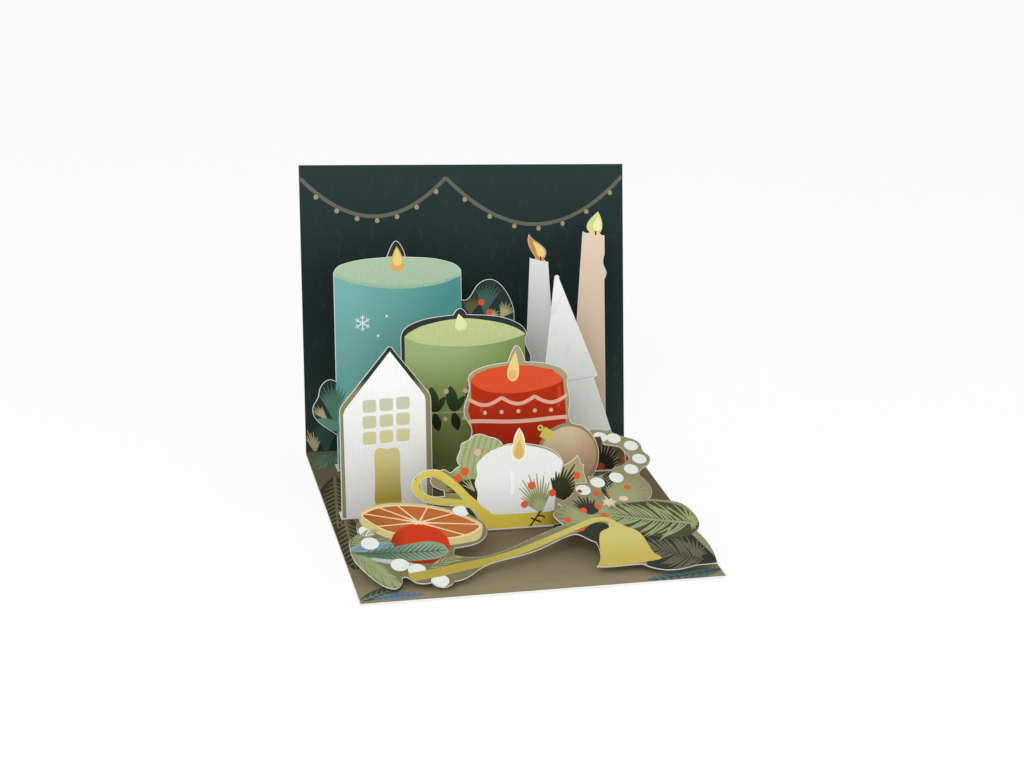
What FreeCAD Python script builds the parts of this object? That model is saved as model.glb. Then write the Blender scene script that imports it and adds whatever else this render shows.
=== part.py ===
import FreeCAD, Part
import math
import os

# A pop-up card standing open: a folded cover with a folded lining glued inside it, die-cut
# card layers that stand on glued tabs and lean back as the wall does, folded paper struts
# that hold each layer off the one behind, and a low front spray that slopes to the floor.
#
# Frame: +X to the right, +Y to the back, +Z up, in millimetres.
# Origin: the middle of the underside of the cover's floor panel, which rests on the table.

Vector = FreeCAD.Vector

os.makedirs("parts", exist_ok=True)
doc = FreeCAD.newDocument("pop_up_card")


# Driving dimensions
SIZES = [
    ("card_width", 133.4, "width of the card, left to right"),
    ("panel_depth", 113.1, "from the fold to the free edge, floor and wall alike"),
    ("wall_lean", 19.1, "how far the wall and every layer lean back, degrees"),
    ("cover_thickness", 0.5, "outer cover card"),
    ("lining_thickness", 0.35, "printed lining glued inside the cover"),
    ("layer_thickness", 0.45, "die-cut layers"),
    ("strut_thickness", 0.25, "folded paper struts and legs"),
    ("fold_radius", 0.35, "inside radius of every fold"),
    ("glue_tab", 5.5, "length of a glued tab past its fold"),
    ("teal_distance", 17.7, "teal candle layer, from the fold along the floor"),
    ("taper_distance", 12.0, "both taper candles"),
    ("tree_distance", 30.0, "tree layer"),
    ("green_distance", 35.4, "green candle layer"),
    ("red_distance", 52.0, "red candle layer"),
    ("house_distance", 55.9, "house layer"),
    ("holder_distance", 70.8, "white candle in its handled holder"),
    ("teal_left", -57.1, "left side of the teal candle"),
    ("teal_width", 50.5, "teal candle"),
    ("teal_shoulder", 77.3, "height of the teal candle's straight side"),
    ("teal_rim_rise", 5.8, "rise of the teal candle's rim over its shoulder"),
    ("white_taper_middle", 27.0, "middle of the white taper"),
    ("white_taper_height", 78.9, "white taper without its flame"),
    ("white_taper_top_width", 7.6, "white taper at its top"),
    ("white_taper_foot_width", 16.0, "white taper at the floor"),
    ("pink_taper_right", 54.7, "right side of the pink taper"),
    ("pink_taper_height", 89.0, "pink taper without its flame"),
    ("pink_taper_width", 9.2, "pink taper at its top"),
    ("pink_taper_foot_width", 16.2, "pink taper at the floor"),
    ("flame_height", 10.0, "flames of the tapers"),
    ("tree_tip_across", 28.9, "where the tree's tip stands across the card"),
    ("tree_height", 79.1, "tree"),
    ("tree_tier_height", 38.6, "height of the notch between the two tiers"),
    ("tree_tier_reach", 16.6, "from the tip across to the upper tier's right corner"),
    ("tree_foot_left", 18.0, "left end of the tree layer's foot"),
    ("tree_foot_width", 39.0, "tree layer's foot with its greenery"),
    ("green_left", -35.0, "left side of the green candle layer"),
    ("green_width", 49.9, "green candle layer"),
    ("green_shoulder", 58.7, "height of its straight side"),
    ("green_rim_rise", 8.2, "rise of its rim over the shoulder"),
    ("red_left", -13.0, "left side of the red candle layer"),
    ("red_width", 39.4, "red candle layer"),
    ("red_shoulder", 48.6, "height of its straight side"),
    ("red_rim_rise", 6.2, "rise of its rim over the shoulder"),
    ("bauble_radius", 13.6, "bauble with its margin, beside the red candle"),
    ("bauble_height", 17.6, "middle of the bauble, up the sheet"),
    ("house_left", -62.6, "left side of the house layer"),
    ("house_width", 34.4, "house layer"),
    ("house_eaves", 41.4, "height of the eaves"),
    ("house_ridge", 63.8, "height of the ridge"),
    ("wax_left", -14.9, "left side of the white candle"),
    ("wax_width", 33.4, "white candle"),
    ("wax_shoulder", 25.2, "height where its side meets the rim"),
    ("wax_rim_rise", 7.0, "rise of its rim"),
    ("dish_width", 25.2, "foot of the holder's dish"),
    ("handle_width", 2.6, "gold band of the holder's handle"),
    ("spray_front", 112.0, "front line of the spray, from the fold along the floor"),
    ("spray_slope", 17.0, "slope of the spray, degrees"),
    ("spray_lift", 2.0, "height of its top face at the front line, over the floor"),
    ("bell_left", 20.3, "left side of the mouth of the bell on the spray"),
    ("bell_width", 23.2, "mouth of the bell"),
    ("spray_clearance", 1.2, "room between the spray and the layers it passes"),
    ("spray_tab_right", 27.6, "right side of the tab that glues the spray to the holder"),
    ("spray_tab_width", 4.6, "that tab, left to right"),
    ("teal_strut_level", 45.0, "height of the teal layer's strut, up the sheet"),
    ("taper_strut_level", 40.0, "height of the tapers' struts"),
    ("tree_strut_level", 26.0, "height of the tree's strut"),
    ("green_strut_level", 35.0, "height of the green layer's strut"),
    ("red_strut_level", 27.0, "height of the red layer's strut"),
    ("house_strut_level", 24.0, "height of the house's strut"),
    ("holder_strut_level", 17.0, "height of the holder's strut"),
    ("teal_strut_middle", -32.0, "middle of each strut and leg, across the card"),
    ("green_strut_middle", -18.0, "green layer's strut"),
    ("red_strut_middle", 2.0, "struts of the red layer and the holder"),
    ("house_strut_middle", -46.0, "house's strut"),
    ("wide_strut", 14.0, "width of the struts behind the broad layers"),
    ("narrow_strut", 7.0, "width of the struts behind the tapers and the tree"),
    ("front_leg_place", 24.0, "front legs, up the spray from its front line"),
    ("back_leg_place", 33.0, "back left leg, up the spray"),
    ("garland_leg_place", 50.5, "leg under the garland, up the spray"),
    ("front_left_leg_middle", -53.5, "front left leg, across the card"),
    ("front_right_leg_middle", 50.0, "front right leg"),
    ("back_left_leg_middle", -46.0, "back left leg"),
    ("garland_leg_middle", 40.0, "leg under the garland"),
    ("leg_width", 7.0, "width of the spray's legs"),
    ("leg_tab", 4.0, "length of each glued tab of a leg"),
]

sheet = doc.addObject("Spreadsheet::Sheet", "sizes")
for row, (alias, value, note) in enumerate(SIZES, start=1):
    sheet.set("A%d" % row, alias)
    sheet.set("B%d" % row, str(value))
    sheet.set("C%d" % row, note)
    sheet.setAlias("B%d" % row, alias)
doc.recompute()


def size(alias):
    """Value of one driving dimension."""
    return float(sheet.get(alias))


# Values that follow from the driving dimensions
LEAN = math.radians(size("wall_lean"))
SLOPE = math.radians(size("spray_slope"))
CARD = size("layer_thickness")
FLOOR_TOP = size("cover_thickness") + size("lining_thickness")
FOLD_LINE = size("panel_depth") / 2
TURN = math.pi / 2 - LEAN

# Height, up a sheet, where its bottom fold begins
FOOT = (size("fold_radius") + CARD) * (1 + math.sin(LEAN)) / math.cos(LEAN)


class Outline:
    """A closed outline drawn piece by piece in the plane of a sheet."""

    def __init__(self, across, up):
        self.start = Vector(across, up, 0)
        self.pen = self.start
        self.edges = []

    def line(self, across, up):
        """Straight edge to a point."""
        end = Vector(across, up, 0)
        self.edges.append(Part.LineSegment(self.pen, end))
        self.pen = end
        return self

    def arc(self, through, end):
        """Round edge through one point to another."""
        middle = Vector(through[0], through[1], 0)
        last = Vector(end[0], end[1], 0)
        self.edges.append(Part.Arc(self.pen, middle, last))
        self.pen = last
        return self

    def curve(self, *points):
        """Smooth edge through each point in turn."""
        stops = [Vector(across, up, 0) for across, up in points]
        spline = Part.BSplineCurve()
        spline.interpolate([self.pen] + stops)
        self.edges.append(spline)
        self.pen = stops[-1]
        return self

    def close(self):
        """Straight edge back to the start."""
        self.line(self.start.x, self.start.y)
        return self.edges


def folded_strip(corners, thickness, inside_radius):
    """Edges of a strip folded at each corner, its thickness to the left of the way taken."""
    points = [Vector(along, up, 0) for along, up in corners]
    ways = [(b - a).normalize() for a, b in zip(points, points[1:])]
    sides = [Vector(-way.y, way.x, 0) for way in ways]
    near = [[points[0]]]
    far = [[points[0] + sides[0] * thickness]]
    for before, after, side, next_side, corner in zip(ways, ways[1:], sides, sides[1:], points[1:]):
        left = 1 if before.cross(after).z > 0 else -1
        radius = inside_radius + (thickness if left > 0 else 0)
        reach = radius * math.tan(before.getAngle(after) / 2)
        centre = corner - before * reach + side * (left * radius)
        outward = (before - after).normalize()
        for rail, rail_radius in ((near, radius), (far, radius - left * thickness)):
            first = centre - side * (left * rail_radius)
            last = centre - next_side * (left * rail_radius)
            rail.append([first, centre + outward * rail_radius, last])
    near.append([points[-1]])
    far.append([points[-1] + sides[-1] * thickness])
    outline = Outline(points[0].x, points[0].y)
    for stop in near[1:]:
        outline.line(stop[0].x, stop[0].y)
        if len(stop) == 3:
            outline.arc((stop[1].x, stop[1].y), (stop[2].x, stop[2].y))
    for stop in reversed(far):
        outline.line(stop[-1].x, stop[-1].y)
        if len(stop) == 3:
            outline.arc((stop[1].x, stop[1].y), (stop[0].x, stop[0].y))
    return outline.close()


def add_body(label):
    """A new piece of the card."""
    body = doc.addObject("PartDesign::Body", label)
    body.Label = label
    return body


def add_sketch(body, name, plane, edges, offset=0.0):
    """Closed edges on one of the piece's own origin planes, or set off from it."""
    sketch = body.newObject("Sketcher::SketchObject", name)
    support = [face for face in body.Origin.OriginFeatures if face.Role == plane]
    sketch.AttachmentSupport = [(support[0], "")]
    sketch.MapMode = "FlatFace"
    sketch.AttachmentOffset = FreeCAD.Placement(Vector(0, 0, offset), FreeCAD.Rotation())
    sketch.addGeometry(edges, False)
    return sketch


def add_pad(body, sketch, name, length, reverse=False, both_ways=False):
    """Thickness given to a sketch, its length bound to the size sheet."""
    pad = body.newObject("PartDesign::Pad", name)
    pad.Profile = sketch
    pad.setExpression("Length", length)
    pad.Reversed = reverse
    if both_ways:
        pad.SideType = "Symmetric"
    body.Tip = pad
    return pad


def add_profile(body, name, edges, width, middle=0.0):
    """A side view carried across the card."""
    sketch = add_sketch(body, name + "_profile", "YZ_Plane", edges, middle)
    return add_pad(body, sketch, name, width, both_ways=True)


def place_on_floor(body, distance, axis, angle, lift="0"):
    """Put a piece's own origin on the floor in front of the fold, turned to its angle."""
    body.Placement = FreeCAD.Placement(Vector(0, 0, 0), FreeCAD.Rotation(axis, 10))
    body.setExpression("Placement.Base.y", "sizes.panel_depth / 2 - sizes.%s" % distance)
    height = "sizes.cover_thickness + sizes.lining_thickness + %s" % lift
    body.setExpression("Placement.Base.z", height)
    body.setExpression("Placement.Rotation.Angle", angle)


def on_layer(distance, up, behind=0.0):
    """Point of a layer's front face, or behind it, seen from the side."""
    along = FOLD_LINE - distance + up * math.sin(LEAN) + behind * math.cos(LEAN)
    return (along, FLOOR_TOP + up * math.cos(LEAN) - behind * math.sin(LEAN))


def folded_panels(label, depth, thickness):
    """A card folded once, floor panel and leaning wall, its outer face this deep."""
    shift = depth * math.tan(TURN / 2)
    wall = size("panel_depth") + shift
    corner = (FOLD_LINE + shift, FLOOR_TOP - depth)
    top = (corner[0] + wall * math.sin(LEAN), corner[1] + wall * math.cos(LEAN))
    radius = size("fold_radius") + depth - thickness
    edges = folded_strip([(-FOLD_LINE, corner[1]), corner, top], thickness, radius)
    body = add_body(label)
    add_profile(body, label + "_panels", edges, "sizes.card_width")
    return body


def standing_layer(label, distance, edges, foot_left, foot_width, hole=()):
    """A die-cut layer: its leaning face and the tab folded back under it."""
    body = add_body(label)
    face = add_sketch(body, label + "_face", "XZ_Plane", edges + list(hole))
    add_pad(body, face, label + "_card", "sizes.layer_thickness", reverse=True)
    tab = size("glue_tab") + FOOT
    end = (tab * math.cos(LEAN), tab * math.sin(LEAN))
    profile = folded_strip([end, (0, 0), (0, FOOT + CARD)][::-1], CARD, size("fold_radius"))
    middle = foot_left + size(foot_width) / 2
    add_profile(body, label + "_tab", profile, "sizes." + foot_width, middle)
    place_on_floor(body, distance, Vector(-1, 0, 0), "sizes.wall_lean")
    return body


def strut(label, behind, distance, level, width, middle):
    """A paper strip from the face behind to a layer's back, level with the floor."""
    back_up = size(level)
    front_up = back_up + CARD * math.tan(LEAN)
    tab = size("glue_tab")
    corners = [
        on_layer(distance, front_up + tab, CARD),
        on_layer(distance, front_up, CARD),
        on_layer(behind, back_up),
        on_layer(behind, back_up + tab),
    ]
    edges = folded_strip(corners, size("strut_thickness"), size("fold_radius"))
    body = add_body(label)
    add_profile(body, label + "_strip", edges, "sizes." + width, middle)
    return body


def candle_rim(outline, left, width, shoulder, rise, flame):
    """The far rim of a candle, left to right, with the flame's bump in it."""
    middle, half, top = flame
    rim = shoulder + rise
    outline.curve((left + width * 0.03, shoulder + rise * 0.4),
                  (left + width * 0.1, shoulder + rise * 0.66),
                  (left + width * 0.22, shoulder + rise * 0.87),
                  (middle - half, rim))
    outline.curve((middle - half * 0.6, (rim + top) / 2 + 0.4),
                  (middle, top),
                  (middle + half * 0.75, (rim + top) / 2),
                  (middle + half, rim))
    outline.curve((left + width * 0.76, rim - rise * 0.12),
                  (left + width * 0.9, shoulder + rise * 0.62),
                  (left + width * 0.97, shoulder + rise * 0.34),
                  (left + width, shoulder))
    return outline


def teal_candle():
    """Tall teal candle with a sprig of greenery low on its left and one high on its right."""
    left = size("teal_left")
    width = size("teal_width")
    right = left + width
    shoulder = size("teal_shoulder")
    outline = Outline(left, FOOT)
    outline.line(left, 14.8)
    outline.curve((left - 5.9, 19.0), (left - 9.0, 22.9), (left - 9.4, 25.0), (left - 8.7, 27.3),
                  (left - 7.1, 30.0), (left - 6.6, 32.4), (left - 5.2, 35.0), (left - 3.4, 36.3),
                  (left, 35.7))
    outline.line(left, shoulder)
    candle_rim(outline, left, width, shoulder, size("teal_rim_rise"),
               (left + 24.6, 3.7, shoulder + 12.0))
    outline.line(right, shoulder - 11.4)
    outline.curve((right + 1.6, shoulder - 11.5), (right + 6.4, shoulder - 5.9),
                  (right + 12.9, shoulder - 3.8), (right + 16.3, shoulder - 6.1),
                  (right + 20.0, shoulder - 11.8), (right + 21.4, shoulder - 17.0),
                  (right + 18.0, shoulder - 28.0), (right, shoulder - 36.0))
    outline.line(right, FOOT)
    return standing_layer("teal_candle", "teal_distance", outline.close(), left, "teal_width")


def white_taper():
    """White taper candle with its flame blown to the left."""
    middle = size("white_taper_middle")
    top = size("white_taper_height")
    half = size("white_taper_top_width") / 2
    foot = size("white_taper_foot_width") / 2
    flame = size("flame_height")
    outline = Outline(middle - foot, FOOT)
    outline.line(middle - half, top + 0.9)
    outline.curve((middle - 2.6, top + 0.3), (middle - 1.2, top + 0.7))
    outline.curve((middle - 3.3, top + flame * 0.38), (middle - 4.5, top + flame * 0.8),
                  (middle - 4.0, top + flame * 1.02))
    outline.curve((middle + 0.4, top + flame * 0.62), (middle + 2.9, top + flame * 0.34),
                  (middle + 2.0, top + 0.4))
    outline.curve((middle + 2.8, top - 0.7), (middle + half, top - 0.9))
    outline.line(middle + foot, FOOT)
    return standing_layer("white_taper", "taper_distance", outline.close(),
                          middle - foot, "white_taper_foot_width")


def pink_taper():
    """Pink taper candle with wax runs down its right side."""
    right = size("pink_taper_right")
    top = size("pink_taper_height")
    left = right - size("pink_taper_width")
    foot = right - size("pink_taper_foot_width")
    flame = size("flame_height")
    outline = Outline(foot, FOOT)
    outline.line(left, top + 0.9)
    outline.curve((left + 1.7, top + 0.2), (left + 3.1, top + 0.5))
    outline.curve((left + 1.8, top + flame * 0.3), (left + 3.6, top + flame * 0.6),
                  (left + 6.5, top + flame * 0.87))
    outline.curve((left + 8.1, top + flame * 0.5), (left + 8.2, top + flame * 0.2),
                  (left + 7.2, top))
    outline.curve((left + 8.0, top - 0.7), (right, top - 0.9))
    outline.line(right, top - 8.6)
    outline.curve((right - 0.6, top - 11.0), (right - 0.2, top - 13.4), (right + 0.7, top - 15.4),
                  (right + 0.5, top - 17.2), (right - 0.2, top - 18.6))
    outline.line(right, FOOT)
    return standing_layer("pink_taper", "taper_distance", outline.close(),
                          foot, "pink_taper_foot_width")


def tree():
    """White tree of two tiers with greenery at its foot."""
    tip = size("tree_tip_across")
    top = size("tree_height")
    tier = size("tree_tier_height")
    left = size("tree_foot_left")
    right = left + size("tree_foot_width")
    tier_right = tip + size("tree_tier_reach")
    outline = Outline(left, FOOT)
    outline.line(tip - 8.9, tier * 0.5)
    outline.line(tip - 5.8, tier)
    outline.line(tip - 0.9, top - 1.2)
    outline.arc((tip, top), (tip + 1.0, top - 1.4))
    outline.line(tier_right, tier + 0.6)
    outline.line(tier_right - 1.6, tier - 0.4)
    outline.line(tip + 22.3, tier * 0.42)
    outline.curve((tip + 24.4, 13.2), (tip + 26.2, 10.6), (right, 6.4))
    outline.line(right, FOOT)
    return standing_layer("tree", "tree_distance", outline.close(), left, "tree_foot_width")


def green_candle():
    """Green candle with a dark margin all round."""
    left = size("green_left")
    width = size("green_width")
    right = left + width
    shoulder = size("green_shoulder")
    outline = Outline(left, FOOT)
    outline.line(left, shoulder)
    candle_rim(outline, left, width, shoulder, size("green_rim_rise"),
               (left + 23.4, 2.6, shoulder + 10.6))
    outline.curve((right, shoulder - 5.0), (right + 1.5, shoulder - 8.6),
                  (right + 1.2, shoulder - 12.0), (right + 0.2, shoulder - 15.0))
    outline.line(right, FOOT)
    return standing_layer("green_candle", "green_distance", outline.close(), left, "green_width")


def red_candle():
    """Red candle with wax runs down its sides and a round bauble leaning on its right."""
    left = size("red_left")
    width = size("red_width")
    right = left + width
    shoulder = size("red_shoulder")
    radius = size("bauble_radius")
    middle = right - 1.4
    height = size("bauble_height")
    outline = Outline(left + 0.8, FOOT)
    outline.line(left + 0.2, 26.3)
    outline.curve((left + 0.1, 32.2), (left - 1.6, 35.2), (left - 1.6, 38.6), (left - 0.3, 42.6),
                  (left, shoulder))
    candle_rim(outline, left, width, shoulder, size("red_rim_rise"),
               (left + 19.0, 3.4, shoulder + 12.4))
    outline.curve((right, shoulder - 5.0), (right + 0.7, shoulder - 9.6), (right + 0.2, shoulder - 14.0),
                  (right + 1.4, height + 12.9))
    up_angle = math.radians(62)
    down_angle = math.radians(-35)
    outline.line(middle + radius * math.cos(up_angle), height + radius * math.sin(up_angle))
    outline.arc((middle + radius, height),
                (middle + radius * math.cos(down_angle), height + radius * math.sin(down_angle)))
    outline.line(right + 1.6, FOOT)
    return standing_layer("red_candle", "red_distance", outline.close(), left + 0.8, "red_width")


def house():
    """Gabled house with a narrow margin round it."""
    left = size("house_left")
    right = left + size("house_width")
    eaves = size("house_eaves")
    ridge = size("house_ridge")
    peak = left + 19.1
    outline = Outline(left, FOOT)
    outline.line(left, eaves - 1.6)
    outline.curve((left + 0.4, eaves + 0.6), (left + 1.5, eaves + 2.2))
    outline.line(peak - 1.3, ridge - 1.0)
    outline.arc((peak, ridge), (peak + 1.3, ridge - 1.0))
    outline.line(right - 1.2, eaves + 5.4)
    outline.curve((right - 0.3, eaves + 3.8), (right, eaves + 2.0))
    outline.line(right, FOOT)
    return standing_layer("house", "house_distance", outline.close(), left, "house_width")


def handle_hole(left, shoulder, band):
    """Opening inside the handle's loop, its right side cut round a sprig."""
    outer = left - 24.6
    outline = Outline(outer + band + 0.9, shoulder - 5.8)
    outline.curve((outer + band + 1.5, shoulder - 4.4), (outer + band + 2.9, shoulder - 3.6),
                  (outer + band + 4.9, shoulder - 3.9))
    outline.curve((outer + band + 4.6, shoulder - 5.5), (outer + band + 5.8, shoulder - 7.1),
                  (outer + band + 9.4, shoulder - 8.7))
    outline.line(outer + band + 9.8, shoulder - 10.8)
    outline.curve((outer + band + 6.2, shoulder - 10.8), (outer + band + 3.0, shoulder - 9.7),
                  (outer + band + 0.9, shoulder - 5.8))
    return outline.edges


def handled_holder():
    """White candle in a holder with a looped handle, a leaf on its left and one on its right."""
    left = size("wax_left")
    width = size("wax_width")
    right = left + width
    shoulder = size("wax_shoulder")
    rim = shoulder + size("wax_rim_rise")
    dish = left + 4.0
    dish_right = dish + size("dish_width")
    handle = left - 24.6
    outline = Outline(dish, FOOT)
    outline.curve((dish - 1.6, 2.6), (dish - 4.6, 6.6), (dish - 7.0, 9.6))
    outline.curve((dish - 10.6, 10.0), (dish - 15.0, 10.7), (dish - 22.2, 12.1),
                  (dish - 26.0, 14.2), (handle, shoulder - 6.4), (handle + 3.0, shoulder - 2.0),
                  (handle + 6.8, shoulder - 0.8), (handle + 11.2, shoulder - 1.3))
    outline.curve((handle + 12.6, shoulder - 1.0), (handle + 14.8, shoulder - 2.2),
                  (handle + 16.3, shoulder - 1.2), (handle + 18.5, shoulder - 0.1))
    outline.curve((handle + 17.3, shoulder + 3.0), (handle + 18.6, shoulder + 6.2),
                  (handle + 19.0, shoulder + 8.0), (handle + 21.4, shoulder + 9.2),
                  (handle + 23.4, shoulder + 10.8), (handle + 26.8, shoulder + 11.3),
                  (handle + 29.7, shoulder + 10.2), (handle + 31.6, shoulder + 9.7),
                  (handle + 33.8, shoulder + 8.3), (left + 10.3, rim - 0.4))
    outline.curve((left + 12.4, rim + 0.2), (left + 14.1, rim + 0.2))
    outline.curve((left + 14.9, rim + 3.4), (left + 16.5, rim + 6.0))
    outline.curve((left + 17.9, rim + 3.6), (left + 18.7, rim + 0.1))
    outline.curve((left + 24.5, rim - 1.0), (left + 29.4, rim - 3.0), (right - 0.5, shoulder + 0.3),
                  (right, shoulder - 1.9))
    outline.curve((right + 3.5, shoulder - 0.2), (right + 5.5, shoulder + 1.6))
    outline.curve((right + 6.2, shoulder + 0.4), (right + 6.7, shoulder - 1.1),
                  (right + 8.0, shoulder - 2.1))
    outline.curve((right + 7.9, shoulder - 4.5), (right + 8.6, shoulder - 6.9),
                  (right + 9.3, shoulder - 9.0))
    outline.line(right + 9.3, 8.0)
    outline.curve((right + 6.0, 4.0), (right + 1.0, 2.0), (dish_right, FOOT))
    hole = handle_hole(left, shoulder, size("handle_width"))
    return standing_layer("handled_holder", "holder_distance", outline.close(),
                          dish, "dish_width", hole)


def spray_height(distance):
    """Height of the spray's top face over the underside of the card."""
    return FLOOR_TOP + size("spray_lift") + (size("spray_front") - distance) * math.tan(SLOPE)


def crossing(distance):
    """How far up the spray a standing layer's front face crosses its top face."""
    run = size("spray_front") - distance
    lift = size("spray_lift")
    up = (lift + run * math.tan(SLOPE)) / (math.cos(LEAN) - math.sin(LEAN) * math.tan(SLOPE))
    return (run + up * math.sin(LEAN)) / math.cos(SLOPE)


def spray_outline(holder, red):
    """Outline of the spray, seen square on: orange slice, leaves, snuffer, bell and garland."""
    clear = size("spray_clearance")
    arm = red - clear
    edge = spray_tab_edge(holder)
    tab_left = size("spray_tab_right") - size("spray_tab_width")
    mouth = size("bell_left")
    bell = mouth + size("bell_width")
    pine = 37.4
    notch = 27.0

    def loop(share):
        return holder + share * (red - holder)

    def neck(share):
        return pine + share * (holder - pine)

    def berries(share):
        return notch + share * (holder - notch)

    outline = Outline(64.6, 3.4)
    outline.curve((65.0, 8.2), (64.6, 12.4), (63.3, 16.8), (62.1, 19.7))
    outline.curve((64.3, 23.5), (64.3, 26.7), (63.4, 29.8), (60.6, 34.0), (56.9, 35.6), (48.4, pine))
    outline.curve((51.2, neck(0.345)), (51.2, neck(0.56)), (49.6, neck(0.975)))
    outline.curve((48.9, loop(0.06)), (50.0, loop(0.16)), (53.6, loop(0.27)))
    outline.curve((55.4, loop(0.38)), (55.8, loop(0.48)), (54.2, loop(0.62)),
                  (54.3, loop(0.76)), (52.9, loop(0.91)), (48.4, red + 0.4),
                  (44.2, red + 3.4), (38.6, red + 4.9), (35.6, red + 4.6))
    outline.line(35.6, red + clear)
    outline.line(39.6, red + clear)
    outline.line(39.6, arm - 2.0)
    outline.curve((42.5, red - 4.1), (45.8, loop(0.745)), (46.8, loop(0.62)),
                  (47.6, loop(0.51)), (45.0, loop(0.35)), (40.6, loop(0.28)))
    outline.curve((35.8, loop(0.13)), (32.8, loop(0.08)), (28.6, loop(0.086)))
    outline.line(28.6, edge)
    outline.line(tab_left, edge)
    outline.curve((21.0, berries(0.745)), (17.6, berries(0.6)), (13.2, berries(0.48)))
    outline.curve((14.4, berries(0.42)), (12.6, berries(0.345)), (10.4, berries(0.28)),
                  (11.1, berries(0.118)), (12.6, notch))
    outline.curve((7.2, 25.0), (-5.5, 19.4), (-20.7, 14.4), (-30.6, 16.2))
    outline.curve((-30.2, 17.9), (-29.6, 19.4))
    outline.curve((-25.0, 20.0), (-20.4, 21.4), (-16.7, 25.0), (-16.0, 28.0), (-17.6, 32.2),
                  (-20.9, 35.2), (-21.6, 38.6), (-26.2, 38.8))
    outline.curve((-31.3, 40.0), (-38.0, 42.0), (-45.7, 43.4), (-52.5, 43.2), (-57.6, 41.4),
                  (-60.2, 38.6), (-60.8, 35.0))
    outline.curve((-62.5, 31.6), (-62.6, 29.4), (-65.0, 27.2), (-66.4, 24.8))
    outline.curve((-66.5, 21.0), (-65.8, 16.6), (-63.8, 12.4), (-61.4, 8.6), (-58.8, 5.2),
                  (-56.2, 3.2), (-53.9, 2.7), (-52.0, 3.9), (-51.0, 7.2))
    outline.curve((-49.2, 7.4), (-46.8, 5.0), (-44.0, 4.0), (-41.0, 4.3))
    outline.curve((-39.4, 2.4), (-37.2, 1.7), (-34.9, 2.3), (-33.0, 4.0))
    outline.curve((-28.0, 5.4), (-22.4, 9.1), (-6.9, 13.7), (4.3, 17.6), (13.3, 21.6),
                  (16.4, 22.0), (19.0, 20.2), (22.4, 17.6))
    outline.curve((22.6, 13.4), (22.0, 10.2), (mouth - 0.9, 5.9))
    outline.curve((mouth + 6.0, 5.4), (mouth + 13.0, 5.6), (bell - 6.8, 5.5))
    outline.curve((bell - 3.0, 3.2), (bell + 3.0, 1.8), (bell + 8.0, 2.1), (56.0, 3.1))
    return outline.close()


def spray_tab_edge(holder):
    """Where the spray's card ends and the bend of its glued tab begins."""
    bend = size("fold_radius") + CARD
    turn = math.pi - (TURN - SLOPE)
    return holder - bend * math.tan(turn / 2)


def front_spray():
    """The low sloping sheet in front, with a tab folded down against the holder's face."""
    holder = crossing(size("holder_distance"))
    red = crossing(size("red_distance"))
    body = add_body("front_spray")
    top = add_sketch(body, "spray_top", "XY_Plane", spray_outline(holder, red))
    add_pad(body, top, "spray_card", "sizes.layer_thickness", reverse=True)
    tab = size("glue_tab")
    rise = TURN - SLOPE
    low = (holder - tab * math.cos(rise), -tab * math.sin(rise))
    edges = folded_strip([low, (holder, 0), (spray_tab_edge(holder) - 1.0, 0)],
                         CARD, size("fold_radius"))
    middle = size("spray_tab_right") - size("spray_tab_width") / 2
    add_profile(body, "spray_tab", edges, "sizes.spray_tab_width", middle)
    place_on_floor(body, "spray_front", Vector(1, 0, 0), "sizes.spray_slope", "sizes.spray_lift")
    return body


def spray_leg(label, place, middle):
    """A paper leg under the spray: foot and head tabs point forward, the leg leans back."""
    head_distance = size("spray_front") - size(place) * math.cos(SLOPE)
    head = (FOLD_LINE - head_distance, spray_height(head_distance) - CARD / math.cos(SLOPE))
    rise = head[1] - FLOOR_TOP
    foot = (head[0] - rise * math.tan(LEAN), FLOOR_TOP)
    tab = size("leg_tab")
    corners = [
        (foot[0] - tab, foot[1]),
        foot,
        head,
        (head[0] - tab * math.cos(SLOPE), head[1] - tab * math.sin(SLOPE)),
    ]
    edges = folded_strip(corners, size("strut_thickness"), size("fold_radius"))
    body = add_body(label)
    add_profile(body, label + "_strip", edges, "sizes.leg_width", middle)
    return body


def build():
    """Every piece of the card, in order from the outside in."""
    teal = size("teal_distance")
    taper = size("taper_distance")
    green = size("green_distance")
    red = size("red_distance")
    white = size("white_taper_middle")
    pink = size("pink_taper_right") - size("pink_taper_width") / 2
    pieces = [
        folded_panels("cover_card", FLOOR_TOP, size("cover_thickness")),
        folded_panels("lining_card", size("lining_thickness"), size("lining_thickness")),
        teal_candle(),
        white_taper(),
        pink_taper(),
        tree(),
        green_candle(),
        red_candle(),
        house(),
        handled_holder(),
        front_spray(),
        strut("teal_strut", 0, teal, "teal_strut_level", "wide_strut",
              size("teal_strut_middle")),
        strut("white_taper_strut", 0, taper, "taper_strut_level", "narrow_strut", white),
        strut("pink_taper_strut", 0, taper, "taper_strut_level", "narrow_strut", pink),
        strut("tree_strut", taper, size("tree_distance"), "tree_strut_level", "narrow_strut", white),
        strut("green_strut", teal, green, "green_strut_level", "wide_strut",
              size("green_strut_middle")),
        strut("red_strut", green, red, "red_strut_level", "wide_strut",
              size("red_strut_middle")),
        strut("house_strut", teal, size("house_distance"), "house_strut_level",
              "wide_strut", size("house_strut_middle")),
        strut("holder_strut", red, size("holder_distance"), "holder_strut_level",
              "wide_strut", size("red_strut_middle")),
        spray_leg("front_left_leg", "front_leg_place", size("front_left_leg_middle")),
        spray_leg("front_right_leg", "front_leg_place", size("front_right_leg_middle")),
        spray_leg("back_left_leg", "back_leg_place", size("back_left_leg_middle")),
        spray_leg("garland_leg", "garland_leg_place", size("garland_leg_middle")),
    ]
    doc.recompute()
    return pieces


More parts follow.
